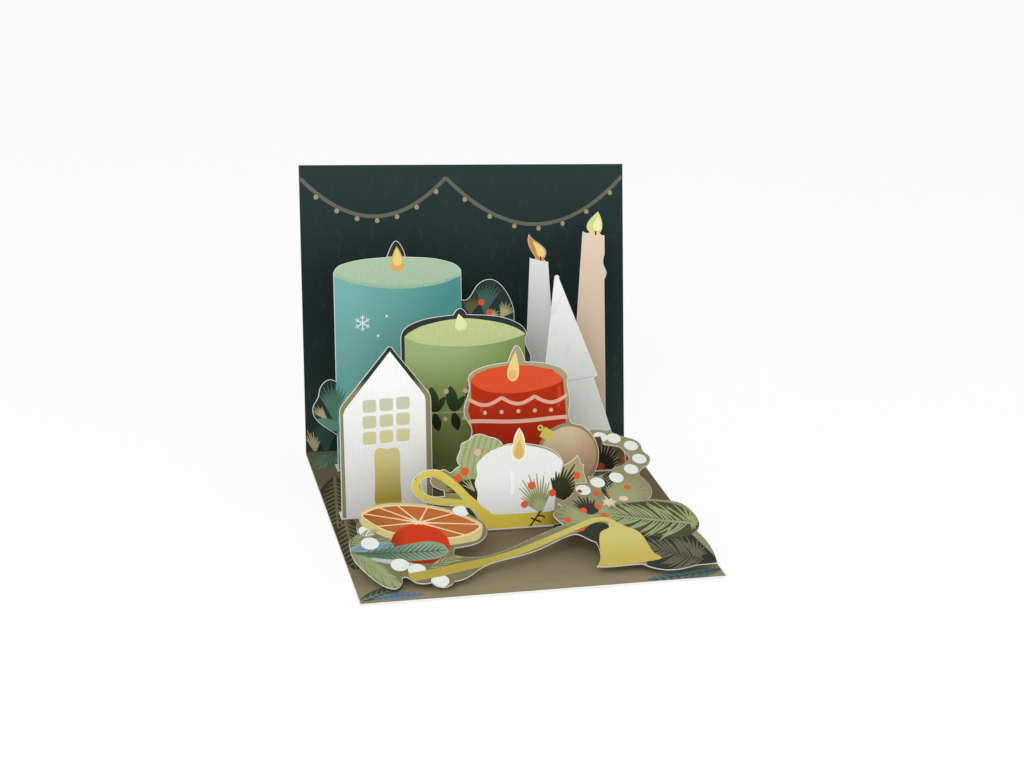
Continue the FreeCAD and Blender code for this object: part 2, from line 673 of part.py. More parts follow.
pieces = build()
for item in doc.Objects:
    if "Invalid" in item.State or "Error" in item.State:
        raise RuntimeError("%s did not compute: %s" % (item.Name, item.State))
for piece in pieces:
    shape = piece.Shape
    if shape.isNull() or not shape.isValid():
        raise RuntimeError("%s has no valid shape" % piece.Label)
for piece in pieces:
    piece.Shape.exportStep("parts/%s.step" % piece.Label)
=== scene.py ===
import logging
import math
from dataclasses import dataclass, field
from enum import Enum
from typing import ClassVar

import bpy
import numpy as np
from mathutils import Matrix, Vector
from mathutils.geometry import delaunay_2d_cdt


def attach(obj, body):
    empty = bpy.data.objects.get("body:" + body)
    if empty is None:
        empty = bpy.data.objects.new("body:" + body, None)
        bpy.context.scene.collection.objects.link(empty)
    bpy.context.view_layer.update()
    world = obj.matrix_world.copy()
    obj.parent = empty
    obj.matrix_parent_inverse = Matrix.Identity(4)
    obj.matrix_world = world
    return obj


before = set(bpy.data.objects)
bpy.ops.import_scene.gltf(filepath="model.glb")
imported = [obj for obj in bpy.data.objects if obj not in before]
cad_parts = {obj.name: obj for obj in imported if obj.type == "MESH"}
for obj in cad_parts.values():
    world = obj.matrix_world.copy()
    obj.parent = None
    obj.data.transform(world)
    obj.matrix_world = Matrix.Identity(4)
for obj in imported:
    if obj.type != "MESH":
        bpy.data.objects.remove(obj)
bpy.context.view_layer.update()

# Looks of an open pop-up card. The folded card, its layers and its struts are the packed
# pieces. Printing is thin closed film laid on each sheet's front, cut to that sheet's outline.
# Lengths are written in millimetres and become metres where a mesh is made.

LOG = logging.getLogger("pop_up_card")

MM = 0.001
FOLD_Y = 56.55
FLOOR_TOP = 0.85
LAYER_RISE = 70.9
SPRAY_RISE = 17.0
SPRAY_FRONT = 112.0
SPRAY_LIFT = 2.0
RIB_PITCH = 1.15
FILM = 0.02
FILM_STEP = 0.005
UNPRINTED_RIM = 0.2
ON_FACE = 0.02
INSET_STEP = 0.5
PRINT_EDGE = -0.03
WALL_STARTS = 0.6
SPECULAR = 0.08
WHITE = (1.0, 1.0, 1.0, 1.0)

Loop = np.ndarray


class Grain(Enum):
    """Which way the fine ribs of a printed sheet run."""

    UPRIGHT = "upright"
    LEVEL = "level"


class Axis(Enum):
    """Direction in which a printed colour changes."""

    ACROSS = "X"
    DEEP = "Y"
    UP = "Z"


def linear(code: str) -> tuple[float, float, float, float]:
    """Turn a colour code into linear red, green, blue and alpha.

    Args:
        code: six hexadecimal digits after a hash sign.

    Returns:
        The four numbers that a colour socket takes.
    """
    parts = [int(code[k:k + 2], 16) / 255 for k in (1, 3, 5)]
    bent = [p / 12.92 if p <= 0.04045 else ((p + 0.055) / 1.055) ** 2.4 for p in parts]
    return (*bent, 1.0)


class Term:
    """A number socket that can be written in sums."""

    def __init__(self, graph: "Graph", socket: bpy.types.NodeSocket) -> None:
        """Keep the node tree that makes the nodes, and the socket."""
        self.graph = graph
        self.socket = socket

    def __add__(self, other: "Term | float") -> "Term":
        """Sum."""
        return self.graph.math("ADD", self, other)

    def __radd__(self, other: float) -> "Term":
        """Sum with a number on the left."""
        return self.graph.math("ADD", other, self)

    def __sub__(self, other: "Term | float") -> "Term":
        """Difference."""
        return self.graph.math("SUBTRACT", self, other)

    def __rsub__(self, other: float) -> "Term":
        """Difference from a number."""
        return self.graph.math("SUBTRACT", other, self)

    def __mul__(self, other: "Term | float") -> "Term":
        """Product."""
        return self.graph.math("MULTIPLY", self, other)

    def __rmul__(self, other: float) -> "Term":
        """Product with a number on the left."""
        return self.graph.math("MULTIPLY", other, self)

    def __gt__(self, other: "Term | float") -> "Term":
        """One where this is the greater, and nothing elsewhere."""
        return self.graph.math("GREATER_THAN", self, other)

    def limited(self) -> "Term":
        """This number held between nothing and one."""
        return self.graph.math("MINIMUM", self.graph.math("MAXIMUM", self, 0.0), 1.0)


class Graph:
    """A node tree, emptied at first, whose nodes are all added by one method."""

    def __init__(self, tree: bpy.types.NodeTree) -> None:
        """Empty the tree."""
        self.tree = tree
        self.tree.nodes.clear()

    def node(self, kind: str, settings: dict | None = None, inputs: dict | None = None) -> bpy.types.Node:
        """Add a node.

        Args:
            kind: the node's type.
            settings: its own settings, set before its sockets.
            inputs: values, sockets or terms by socket name or number.

        Returns:
            The node.
        """
        made = self.tree.nodes.new(kind)
        for key, value in (settings or {}).items():
            setattr(made, key, value)
        for key, value in (inputs or {}).items():
            value = value.socket if isinstance(value, Term) else value
            if isinstance(value, bpy.types.NodeSocket):
                self.tree.links.new(value, made.inputs[key])
            else:
                made.inputs[key].default_value = value
        return made

    def math(self, operation: str, first: "Term | float", second: "Term | float" = 0.0) -> Term:
        """Add a Math node and return its result."""
        made = self.node("ShaderNodeMath", {"operation": operation}, {0: first, 1: second})
        return Term(self, made.outputs[0])


class Shader(Graph):
    """A node material, built from expressions."""

    def __init__(self, name: str) -> None:
        """Start a material with a surface shader, an output and the piece's own coordinates.

        Args:
            name: of the material.
        """
        self.material = bpy.data.materials.new(name)
        self.material.use_nodes = True
        super().__init__(self.material.node_tree)
        self.surface = self.node("ShaderNodeBsdfPrincipled")
        self.output = self.node("ShaderNodeOutputMaterial", inputs={"Surface": self.surface.outputs[0]})
        self.place = self.node("ShaderNodeTexCoord").outputs["Object"]
        apart = self.node("ShaderNodeSeparateXYZ", inputs={0: self.place})
        self.x, self.y, self.z = (Term(self, socket) * (1 / MM) for socket in apart.outputs)

    def sine(self, angle: Term) -> Term:
        """Sine of an angle in radians."""
        return self.math("SINE", angle)

    def blend(self, share: "Term | float", first: object, second: object,
              way: str = "MIX") -> bpy.types.NodeSocket:
        """Mix two colours.

        Args:
            share: how much of the second colour.
            first: colour or socket.
            second: colour or socket.
            way: blend type of the Mix node.

        Returns:
            The mixed colour's socket.
        """
        settings = {"data_type": "RGBA", "blend_type": way}
        return self.node("ShaderNodeMix", settings, {0: share, 6: first, 7: second}).outputs[2]

    def noise(self, scale: float, detail: float = 2.0, stretch: tuple = (1.0, 1.0, 1.0)) -> Term:
        """Soft noise on the piece's own coordinates, about 0.5 on the whole.

        Args:
            scale: cycles in a metre.
            detail: how many finer layers of noise.
            stretch: factor on each coordinate.

        Returns:
            The noise.
        """
        scaled = self.node("ShaderNodeMapping", {"vector_type": "POINT"}, {0: self.place, 3: stretch})
        inputs = {"Vector": scaled.outputs[0], "Scale": scale, "Detail": detail}
        return Term(self, self.node("ShaderNodeTexNoise", {}, inputs).outputs[0])

    def finish(self, colour: object, roughness: "Term | float", height: Term,
               depth: float) -> bpy.types.Material:
        """Feed the surface shader.

        Args:
            colour: base colour socket.
            roughness: number or term.
            height: what stands proud, from nothing to one.
            depth: how far that is, in millimetres.

        Returns:
            The material.
        """
        bump = self.node("ShaderNodeBump", {}, {"Height": height, "Strength": 0.6, "Distance": depth * MM})
        links = {"Base Color": colour, "Roughness": roughness, "Normal": bump.outputs[0]}
        for key, value in links.items():
            value = value.socket if isinstance(value, Term) else value
            if isinstance(value, bpy.types.NodeSocket):
                self.tree.links.new(value, self.surface.inputs[key])
            else:
                self.surface.inputs[key].default_value = value
        self.surface.inputs["Specular IOR Level"].default_value = SPECULAR
        return self.material


@dataclass(frozen=True)
class Ramp:
    """Change of an ink towards a colour, along an axis, between two places in millimetres."""

    colour: str
    axis: Axis
    start: float
    end: float


class Finish:
    """A finish that makes its material once. Each kind gives its own surface."""

    kind: ClassVar[str]
    depth: ClassVar[float]

    def material(self) -> bpy.types.Material:
        """Return this finish's material.

        Returns:
            The material, the same one each time.
        """
        label = f"{self.kind} {self.name}"
        made = bpy.data.materials.get(label)
        if made:
            return made
        shader = Shader(label)
        return shader.finish(*self.surface(shader), self.depth)


@dataclass(frozen=True)
class Ink(Finish):
    """Printed colour that may change along several ramps, with flecks, brush marks and ribs."""

    kind: ClassVar[str] = "ink"
    depth: ClassVar[float] = 0.05
    name: str
    colour: str
    ramps: tuple[Ramp, ...] = ()
    fleck: str = ""
    fleck_share: float = 0.0
    fleck_size: float = 0.5
    brush: str = ""
    brush_share: float = 0.0
    brush_scale: float = 300.0
    brush_stretch: tuple[float, float, float] = (1.0, 1.0, 0.12)
    grain: Grain = Grain.UPRIGHT

    def surface(self, shader: Shader) -> tuple:
        """Mix the ink in a shader.

        Each ramp mixes its colour in by how far a place lies from the ramp's start to its end.
        Brush marks lie where a stretched noise passes a threshold, flecks where a fine one
        does. Ribs are a sine across the sheet, and a fine speckle breaks up the rest.

        Args:
            shader: where the nodes are added.

        Returns:
            Colour, roughness and height.
        """
        places = {Axis.ACROSS: shader.x, Axis.DEEP: shader.y, Axis.UP: shader.z}
        colour = linear(self.colour)
        for ramp in self.ramps:
            share = ((places[ramp.axis] - ramp.start) * (1 / (ramp.end - ramp.start))).limited()
            colour = shader.blend(share, colour, linear(ramp.colour))
        if self.brush_share:
            marks = shader.noise(self.brush_scale, 5.0, self.brush_stretch)
            share = ((marks - (0.66 - self.brush_share)) * 6.0).limited() * 0.5
            colour = shader.blend(share, colour, linear(self.brush))
        if self.fleck_share:
            fine = shader.noise(1 / (self.fleck_size * MM), 1.0)
            share = ((fine - (0.68 - self.fleck_share)) * 9.0).limited() * 0.7
            colour = shader.blend(share, colour, linear(self.fleck))
        across = shader.y if self.grain is Grain.LEVEL else shader.x
        ribs = shader.sine(across * (2 * math.pi / RIB_PITCH))
        speckle = shader.noise(1500.0, 3.0)
        light = 0.99 + 0.016 * ribs + 0.12 * (speckle - 0.5)
        colour = shader.blend(1.0, colour, light.socket, "MULTIPLY")
        return colour, 0.62 + 0.16 * (speckle - 0.5), 0.5 + 0.35 * ribs + 0.2 * (speckle - 0.5)


@dataclass(frozen=True)
class Paper(Finish):
    """Plain paper or card, with faint fibres and a soft tooth."""

    kind: ClassVar[str] = "paper"
    depth: ClassVar[float] = 0.04
    name: str
    tone: str = "#f3f1ec"
    fibre: str = "#e3dfd6"

    def surface(self, shader: Shader) -> tuple:
        """Return colour, roughness and height: a long noise for fibres, a fine one for tooth.

        Args:
            shader: where the nodes are added.

        Returns:
            Colour, roughness and height.
        """
        fibres = shader.noise(700.0, 4.0, (1.0, 0.35, 0.35))
        tooth = shader.noise(2600.0, 2.0)
        colour = shader.blend(((fibres - 0.42) * 3.0).limited() * 0.6, linear(self.tone),
                              linear(self.fibre))
        return colour, 0.72 + 0.14 * (tooth - 0.5), 0.6 * tooth + 0.4 * fibres


@dataclass(frozen=True)
class Sheet:
    """A flat printed face.

    Its origin is on its own foot line at the middle of the card, across is X, and up runs up
    the sheet. rise is the angle of that direction over the table, in degrees.
    """

    foot_y: float
    foot_z: float
    rise: float

    def ways(self) -> tuple[np.ndarray, np.ndarray, np.ndarray]:
        """Return the origin, the direction up the sheet and the way that its face looks.

        Returns:
            The origin in millimetres, and two directions of length one.
        """
        angle = math.radians(self.rise)
        up = np.array([0.0, math.cos(angle), math.sin(angle)])
        out = np.array([0.0, -math.sin(angle), math.cos(angle)])
        return np.array([0.0, self.foot_y, self.foot_z]), up, out

    def place(self, flat: Loop, proud: float) -> np.ndarray:
        """Put flat points on the sheet: origin, plus across, plus up, plus a step out of it.

        Args:
            flat: points as rows of across and up, in millimetres.
            proud: height over the face, in millimetres.

        Returns:
            Points as rows of x, y and z, in metres.
        """
        origin, up, out = self.ways()
        solid = origin + flat[:, :1] * np.array([1.0, 0.0, 0.0]) + flat[:, 1:] * up + proud * out
        return solid * MM

    def flatten(self, solid: np.ndarray) -> tuple[Loop, np.ndarray]:
        """Turn points in metres into flat points on the sheet and heights over it.

        Args:
            solid: points as rows of x, y and z, in metres.

        Returns:
            Flat points and heights, in millimetres.
        """
        origin, up, out = self.ways()
        away = solid / MM - origin
        return np.column_stack([away[:, 0], away @ up]), away @ out


def layer_sheet(distance: float) -> Sheet:
    """Face of an upright layer that stands this far in front of the fold."""
    return Sheet(FOLD_Y - distance, FLOOR_TOP, LAYER_RISE)


WALL = layer_sheet(0.0)
FLOOR = Sheet(0.0, FLOOR_TOP, 0.0)
SPRAY = Sheet(FOLD_Y - SPRAY_FRONT, FLOOR_TOP + SPRAY_LIFT, SPRAY_RISE)


def area(loop: Loop) -> float:
    """Area inside a loop, positive if it runs anticlockwise."""
    after = np.roll(loop, -1, axis=0)
    return float(np.sum(loop[:, 0] * after[:, 1] - after[:, 0] * loop[:, 1]) / 2)


def ellipse(centre: tuple, radii: tuple, count: int = 40) -> Loop:
    """Points of an ellipse: cosine and sine of an even run of angles, scaled and moved.

    Args:
        centre: across and up.
        radii: half the width and half the height.
        count: how many points.

    Returns:
        The points.
    """
    angles = np.linspace(0.0, 2 * np.pi, count, endpoint=False)
    return np.column_stack([radii[0] * np.cos(angles), radii[1] * np.sin(angles)]) + np.array(centre)


def smooth(stops: list, each: int = 7, closed: bool = True) -> Loop:
    """A smooth line through stops, by the Catmull-Rom rule on each run between two stops.

    Args:
        stops: points to pass through.
        each: points made on a run.
        closed: whether the last stop joins the first.

    Returns:
        The points.
    """
    stops = np.array(stops, float)
    if closed:
        before, after, later = (np.roll(stops, k, axis=0) for k in (1, -1, -2))
        here = stops
    else:
        padded = np.vstack([2 * stops[0] - stops[1], stops, 2 * stops[-1] - stops[-2]])
        before, here, after, later = padded[:-3], padded[1:-2], padded[2:-1], padded[3:]
    t = np.linspace(0.0, 1.0, each, endpoint=False)[None, :, None]
    before, here, after, later = (part[:, None, :] for part in (before, here, after, later))
    run = 0.5 * (2 * here + (after - before) * t + (2 * before - 5 * here + 4 * after - later) * t ** 2
                 + (3 * here - before - 3 * after + later) * t ** 3)
    flat = run.reshape(-1, 2)
    return flat if closed else np.vstack([flat, stops[-1]])


def band(path: Loop, width: "float | np.ndarray") -> Loop:
    """Outline of a painted line: the path moved half a width to each side, joined at its ends.

    Args:
        path: points along the line's middle.
        width: one width, or one for each point.

    Returns:
        The outline.
    """
    way = np.gradient(path, axis=0)
    way = way / np.linalg.norm(way, axis=1, keepdims=True)
    side = np.column_stack([-way[:, 1], way[:, 0]]) * np.reshape(np.broadcast_to(width, len(path)),
            (-1, 1)) / 2
    return np.vstack([path - side, (path + side)[::-1]])


def bowed(root: tuple, tip: tuple, bend: float, t: np.ndarray) -> tuple[Loop, np.ndarray, np.ndarray]:
    """Points at shares t of a straight line from root to tip, moved aside by a parabola.

    Args:
        root: where it starts.
        tip: where it ends.
        bend: how far its middle lies off the straight line.
        t: shares of the way, from nothing to one.

    Returns:
        The points, the way from root to tip, and the direction across it.
    """
    root, tip = np.array(root, float), np.array(tip, float)
    way = tip - root
    side = np.array([-way[1], way[0]]) / np.linalg.norm(way)
    return root + way * t[:, None] + side * (4 * bend * t * (1 - t))[:, None], way, side


def sliver(root: np.ndarray, tip: np.ndarray, width: float, bend: float) -> Loop:
    """One needle: a line from root to tip, bowed by a parabola, its width falling to the tip.

    Args:
        root: where it grows.
        tip: where it ends.
        width: width near its root.
        bend: how far its middle lies off the straight line.

    Returns:
        The outline.
    """
    t = np.linspace(0.0, 1.0, 5)
    return band(bowed(root, tip, bend, t)[0], width * (0.35 + 2.2 * t * (1 - t) + 0.12 * (1 - t)))


def leaf(root: tuple, tip: tuple, width: float, bend: float = 0.0) -> Loop:
    """A pointed leaf: its half width is a sine of the way along, raised a little to fill it.

    Args:
        root: stalk end.
        tip: pointed end.
        width: greatest width.
        bend: how far the middle lies off the straight line.

    Returns:
        The outline.
    """
    t = np.linspace(0.0, 1.0, 18)
    return band(bowed(root, tip, bend, t)[0], width * np.sin(np.pi * t * 0.98 + 0.01) ** 0.75 + 0.05)


def cut_flat(shapes: list[Loop], keep: list[Loop]) -> tuple[Loop, np.ndarray]:
    """Triangles that lie in any of some shapes and inside a sheet's printed area.

    All loops are laid over each other in one triangulation. A triangle stays if it is inside
    a shape and the area's outline, and in none of the area's holes.

    Args:
        shapes: outlines, which may overlap.
        keep: the printed area, its outline first and then its holes.

    Returns:
        Flat points, and triangles that run anticlockwise.
    """
    rings = [ring if area(ring) > 0 else ring[::-1] for ring in shapes + keep]
    ends = np.cumsum([0] + [len(ring) for ring in rings])
    faces = [list(range(a, b)) for a, b in zip(ends, ends[1:])]
    result = delaunay_2d_cdt([Vector(point) for point in np.vstack(rings)], [], faces, 1, 1e-5, True)
    outline = len(shapes)
    wanted = [tri for tri, owners in zip(result[2], result[5])
              if outline in owners and min(owners) < outline and max(owners) == outline]
    flat = np.array([tuple(point) for point in result[0]], float).reshape(-1, 2)
    triangles = np.array(wanted, int).reshape(-1, 3)
    a, b, c = (flat[triangles[:, k]] for k in range(3))
    turn = (b[:, 0] - a[:, 0]) * (c[:, 1] - a[:, 1]) - (b[:, 1] - a[:, 1]) * (c[:, 0] - a[:, 0])
    triangles = np.where((turn < 0)[:, None], triangles[:, ::-1], triangles)[np.abs(turn) > 1e-9]
    used, fresh = np.unique(triangles, return_inverse=True)
    return flat[used], fresh.reshape(-1, 3)


def open_edges(triangles: np.ndarray, count: int) -> np.ndarray:
    """Edges with a triangle on one side only, as rows of two points in their triangle's order.

    Args:
        triangles: rows of three point numbers.
        count: how many points there are.

    Returns:
        Rows of two point numbers.
    """
    edges = np.vstack([triangles[:, [0, 1]], triangles[:, [1, 2]], triangles[:, [2, 0]]])
    forward = edges[:, 0] * count + edges[:, 1]
    return edges[~np.isin(forward, edges[:, 1] * count + edges[:, 0])]


def front_loops(node: str, sheet: Sheet) -> list[Loop]:
    """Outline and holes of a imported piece's front face, on its own sheet.

    The face's triangles are those with all corners on the sheet. Their open edges are walked
    from point to point into loops.

    Args:
        node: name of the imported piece.
        sheet: where its front lies.

    Returns:
        Flat loops, the outline first.
    """
    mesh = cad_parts[node].data
    mesh.calc_loop_triangles()
    solid = np.empty(len(mesh.vertices) * 3, np.float32)
    mesh.vertices.foreach_get("co", solid)
    triangles = np.empty(len(mesh.loop_triangles) * 3, np.int32)
    mesh.loop_triangles.foreach_get("vertices", triangles)
    flat, height = sheet.flatten(solid.reshape(-1, 3).astype(float))
    merged, first = np.unique(np.round(flat, 3), axis=0, return_inverse=True)
    on_face = np.abs(height) < ON_FACE
    triangles = triangles.reshape(-1, 3)
    triangles = first.reshape(-1)[triangles[on_face[triangles].all(axis=1)]]
    follow = dict(open_edges(triangles, len(merged)).tolist())
    loops = []
    while follow:
        start, point = follow.popitem()
        walk = [start]
        while point in follow:
            walk.append(point)
            point = follow.pop(point)
        loops.append(merged[walk])
    return sorted(loops, key=lambda loop: -abs(area(loop)))


def inset(loop: Loop, others: list[Loop], margin: float) -> Loop:
    """Move a loop towards its own card.

    Points an inset step apart move along the average of their two edges' normals. Those
    that end nearer than the margin to any edge are left out.

    Args:
        loop: outline, or a hole that runs the other way.
        others: every loop of the same face.
        margin: distance to keep.

    Returns:
        The moved loop.
    """
    after = np.roll(loop, -1, axis=0)
    counts = np.maximum(1, np.ceil(np.linalg.norm(after - loop, axis=1) / INSET_STEP)).astype(int)
    index = np.repeat(np.arange(len(loop)), counts)
    step = np.concatenate([np.arange(n) / n for n in counts])[:, None]
    dense = loop[index] * (1 - step) + after[index] * step
    way = np.roll(dense, -1, axis=0) - np.roll(dense, 1, axis=0)
    way = way / np.maximum(np.linalg.norm(way, axis=1, keepdims=True), 1e-9)
    moved = dense + margin * np.column_stack([-way[:, 1], way[:, 0]])
    head = np.vstack(others)
    tail = np.vstack([np.roll(other, -1, axis=0) for other in others])
    run = tail - head
    share = np.einsum("ijk,jk->ij", moved[:, None, :] - head, run) / np.maximum((run ** 2).sum(1), 1e-12)
    nearest = head + np.clip(share, 0.0, 1.0)[:, :, None] * run
    distance = np.linalg.norm(moved[:, None, :] - nearest, axis=2).min(axis=1)
    return moved[distance > margin * 0.96]


@dataclass
class Print:
    """Everything printed on one sheet. Each ink laid later lies a few microns over the last."""

    name: str
    slot: str
    sheet: Sheet
    area: list[Loop]
    points: list[np.ndarray] = field(default_factory=list)
    faces: list[np.ndarray] = field(default_factory=list)
    inks: list[Ink] = field(default_factory=list)
    marks: list[np.ndarray] = field(default_factory=list)
    total: int = 0

    def lay(self, ink: Ink, *shapes: Loop) -> "Print":
        """Lay shapes of one ink on the sheet as a closed film, cut to the printed area.

        The film has a top, a bottom turned over, and a wall on each open edge of the top.

        Args:
            ink: their colour.
            shapes: outlines, which may overlap.

        Returns:
            This print.
        """
        flat, triangles = cut_flat(list(shapes), self.area)
        if not len(triangles):
            LOG.warning("%s: %s has no shape on the sheet", self.name, ink.name)
            return self
        count = len(flat)
        edges = open_edges(triangles, count)
        walls = np.vstack([
            np.column_stack([edges[:, 1], edges[:, 0], edges[:, 0] + count]),
            np.column_stack([edges[:, 1], edges[:, 0] + count, edges[:, 1] + count]),
        ])
        top = FILM + FILM_STEP * len(self.faces)
        self.points += [self.sheet.place(flat, top), self.sheet.place(flat, -FILM)]
        made = np.vstack([triangles, triangles[:, ::-1] + count, walls]) + self.total
        self.faces.append(made)
        self.total += 2 * count
        if ink not in self.inks:
            self.inks.append(ink)
        self.marks.append(np.full(len(made), self.inks.index(ink)))
        return self

    def whole(self, ink: Ink) -> "Print":
        """Cover the printed area with one ink."""
        return self.lay(ink, self.area[0])

    def build(self) -> bpy.types.Object:
        """Make the mesh, give each face its ink, and let it ride with the card.

        Returns:
            The piece.
        """
        mesh = bpy.data.meshes.new(self.name)
        mesh.from_pydata(np.vstack(self.points), [], np.vstack(self.faces).tolist())
        for ink in self.inks:
            mesh.materials.append(ink.material())
        mesh.polygons.foreach_set("material_index", np.concatenate(self.marks).astype(np.int32))
        mesh.update()
        piece = bpy.data.objects.new(self.name, mesh)
        bpy.context.scene.collection.objects.link(piece)
        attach(piece, "root")
        LOG.info("%s: %d films, %d triangles", self.name, len(self.faces), len(mesh.polygons))
        return piece


def print_on(node: str, sheet: Sheet, margin: float = UNPRINTED_RIM) -> Print:
    """Start the print of a die-cut layer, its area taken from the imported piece.

    Args:
        node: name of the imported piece, also its material slot.
        sheet: where its front lies.
        margin: unprinted rim.

    Returns:
        An empty print.
    """
    loops = front_loops(node, sheet)
    return Print(node + "_print", node, sheet, [inset(loop, loops, margin) for loop in loops])


def rectangle(left: float, low: float, right: float, high: float) -> Loop:
    """Four corners, anticlockwise."""
    return np.array([[left, low], [right, low], [right, high], [left, high]], float)


def needles(root: tuple, tip: tuple, count: int, length: float, width: float, angle: float,
            seed: int, bend: float = 0.0) -> list[Loop]:
    """Needles on both sides of a stem.

    Roots lie evenly along a bowed line from root to tip. Each needle leaves the stem at the
    angle, on alternate sides, and shortens towards the tip, with a small seeded change.

    Args:
        root: foot of the stem.
        tip: top of the stem.
        count: how many needles.
        length: of the longest.
        width: of one needle.
        angle: between stem and needle, in degrees.
        seed: start of the random numbers.
        bend: how far the stem's middle lies off the straight line.

    Returns:
        The needles' outlines.
    """
    rng = np.random.default_rng(seed)
    t = np.linspace(0.04, 1.0, count)
    roots, way, _ = bowed(root, tip, bend, t)
    turn = math.atan2(way[1], way[0]) + 4 * bend * (1 - 2 * t) / np.linalg.norm(way)
    sides = np.where(np.arange(count) % 2, 1.0, -1.0)
    turn = turn + sides * np.radians(angle * (1 - 0.75 * t ** 4) + rng.normal(0.0, 5.0, count))
    reach = length * (1 - 0.35 * t) * rng.uniform(0.82, 1.1, count)
    tips = roots + reach[:, None] * np.column_stack([np.cos(turn), np.sin(turn)])
    return [sliver(a, b, width, s * 0.05 * r) for a, b, s, r in zip(roots, tips, sides, reach)]


def stem(root: tuple, tip: tuple, width: float, bend: float = 0.0) -> Loop:
    """The stem that goes with needles or veins: a thin bowed line."""
    t = np.linspace(0.0, 1.0, 12)
    return band(bowed(root, tip, bend, t)[0], width * (1.1 - 0.6 * t))


def veins(root: tuple, tip: tuple, width: float, count: int, thick: float, bend: float = 0.0) -> list[Loop]:
    """Midrib and side veins of a leaf, drawn as a stem with evenly placed short needles.

    Args:
        root: stalk end.
        tip: pointed end.
        width: of the leaf.
        count: pairs of side veins.
        thick: width of a vein.
        bend: how far the middle lies off the straight line.

    Returns:
        The veins' outlines.
    """
    t = np.repeat(np.linspace(0.1, 0.88, count), 2)
    spine, way, side = bowed(root, tip, bend, t)
    sides = np.tile([1.0, -1.0], count)
    reach = 0.4 * width * np.sin(np.pi * t) ** 0.75
    ends = spine + side * (sides * reach)[:, None] + way / np.linalg.norm(way) * (reach * 1.1)[:, None]
    widths = thick * np.array([1.0, 0.8, 0.3])
    side_veins = [band(np.array([a, (a + b) / 2, b]), widths) for a, b in zip(spine, ends)]
    return [stem(root, tip, thick * 1.3, bend)] + side_veins


def fan(root: tuple, turns: tuple, reaches: tuple, count: int, width: float) -> list[Loop]:
    """Needles that spread from one point.

    Their angles run evenly from the first turn to the last. Their lengths follow the reaches,
    which stand evenly over the fan, and every second one is shorter.

    Args:
        root: where they meet.
        turns: first and last angle, in degrees.
        reaches: lengths along the fan.
        count: how many needles.
        width: of one needle.

    Returns:
        The needles' outlines.
    """
    share = np.linspace(0.0, 1.0, count)
    angles = np.radians(turns[0] + (turns[1] - turns[0]) * share)
    reach = np.interp(share, np.linspace(0.0, 1.0, len(reaches)),
                      reaches) * (1.0 - 0.14 * (np.arange(count) % 2))
    way = np.column_stack([np.cos(angles), np.sin(angles)])
    bow = 0.06 * np.sign(turns[1] - turns[0]) * (0.5 - share)
    root = np.array(root, float)
    return [sliver(root + 0.4 * w, root + r * w, width, b * r) for w, r, b in zip(way, reach, bow)]


def flame(tip: tuple, foot: tuple, width: float, lean: float = 0.0) -> Loop:
    """A flame: pointed at its tip, round at its foot, widest a third of the way up.

    Args:
        tip: top point.
        foot: lowest point.
        width: greatest width.
        lean: how far its belly lies to the right of the line from foot to tip.

    Returns:
        The outline.
    """
    tip, foot = np.array(tip, float), np.array(foot, float)
    t = np.linspace(0.0, 1.0, 18)
    half = 0.5 * width * np.sin(np.pi * t ** 0.62) ** 0.85 * (1 - 0.25 * t)
    path = foot + (tip - foot) * t[:, None] + np.column_stack([lean * np.sin(np.pi * t), 0 * t])
    return band(path, 2 * half + 0.04)


def dots(centres: list, radius: float) -> list[Loop]:
    """Small round marks."""
    return [ellipse(centre, (radius, radius), count=18) for centre in centres]


def low_ink(name: str, colour: str, *ramps: Ramp, **extra: object) -> Ink:
    """An ink of a low sheet, whose ribs run across the card."""
    return Ink(name, colour, ramps, grain=Grain.LEVEL, **extra)


DARK = Ink("night green", "#2b3533")
OLIVE = Ink("olive margin", "#a39a76", (Ramp("#8f835d", Axis.UP, 48.0, 22.0),))
NEEDLE_DARK = Ink("dark needles", "#34351f")
NEEDLE_GREEN = Ink("green needles", "#4d7b68", (Ramp("#3c6558", Axis.UP, 26.0, 34.0),))
NEEDLE_PALE = Ink("pale needles", "#a0a97b")
NEEDLE_BEIGE = Ink("beige needles", "#aaa47c")
STALK = Ink("stalk", "#3a301c")
BERRY = Ink("berry", "#d95a36")
DEEP_BERRY = Ink("shaded berry", "#a8431f")
PINK_DOT = Ink("pink dot", "#dcb199")
BEAD = Ink("bead", "#e0e4df", fleck="#cfd4cf", fleck_share=0.1, fleck_size=0.4)
GOLD = Ink("cap gold", "#cfbf5b")
FLAME = Ink("flame", "#e6cd82")
FLAME_CORE = Ink("flame core", "#d9a955")


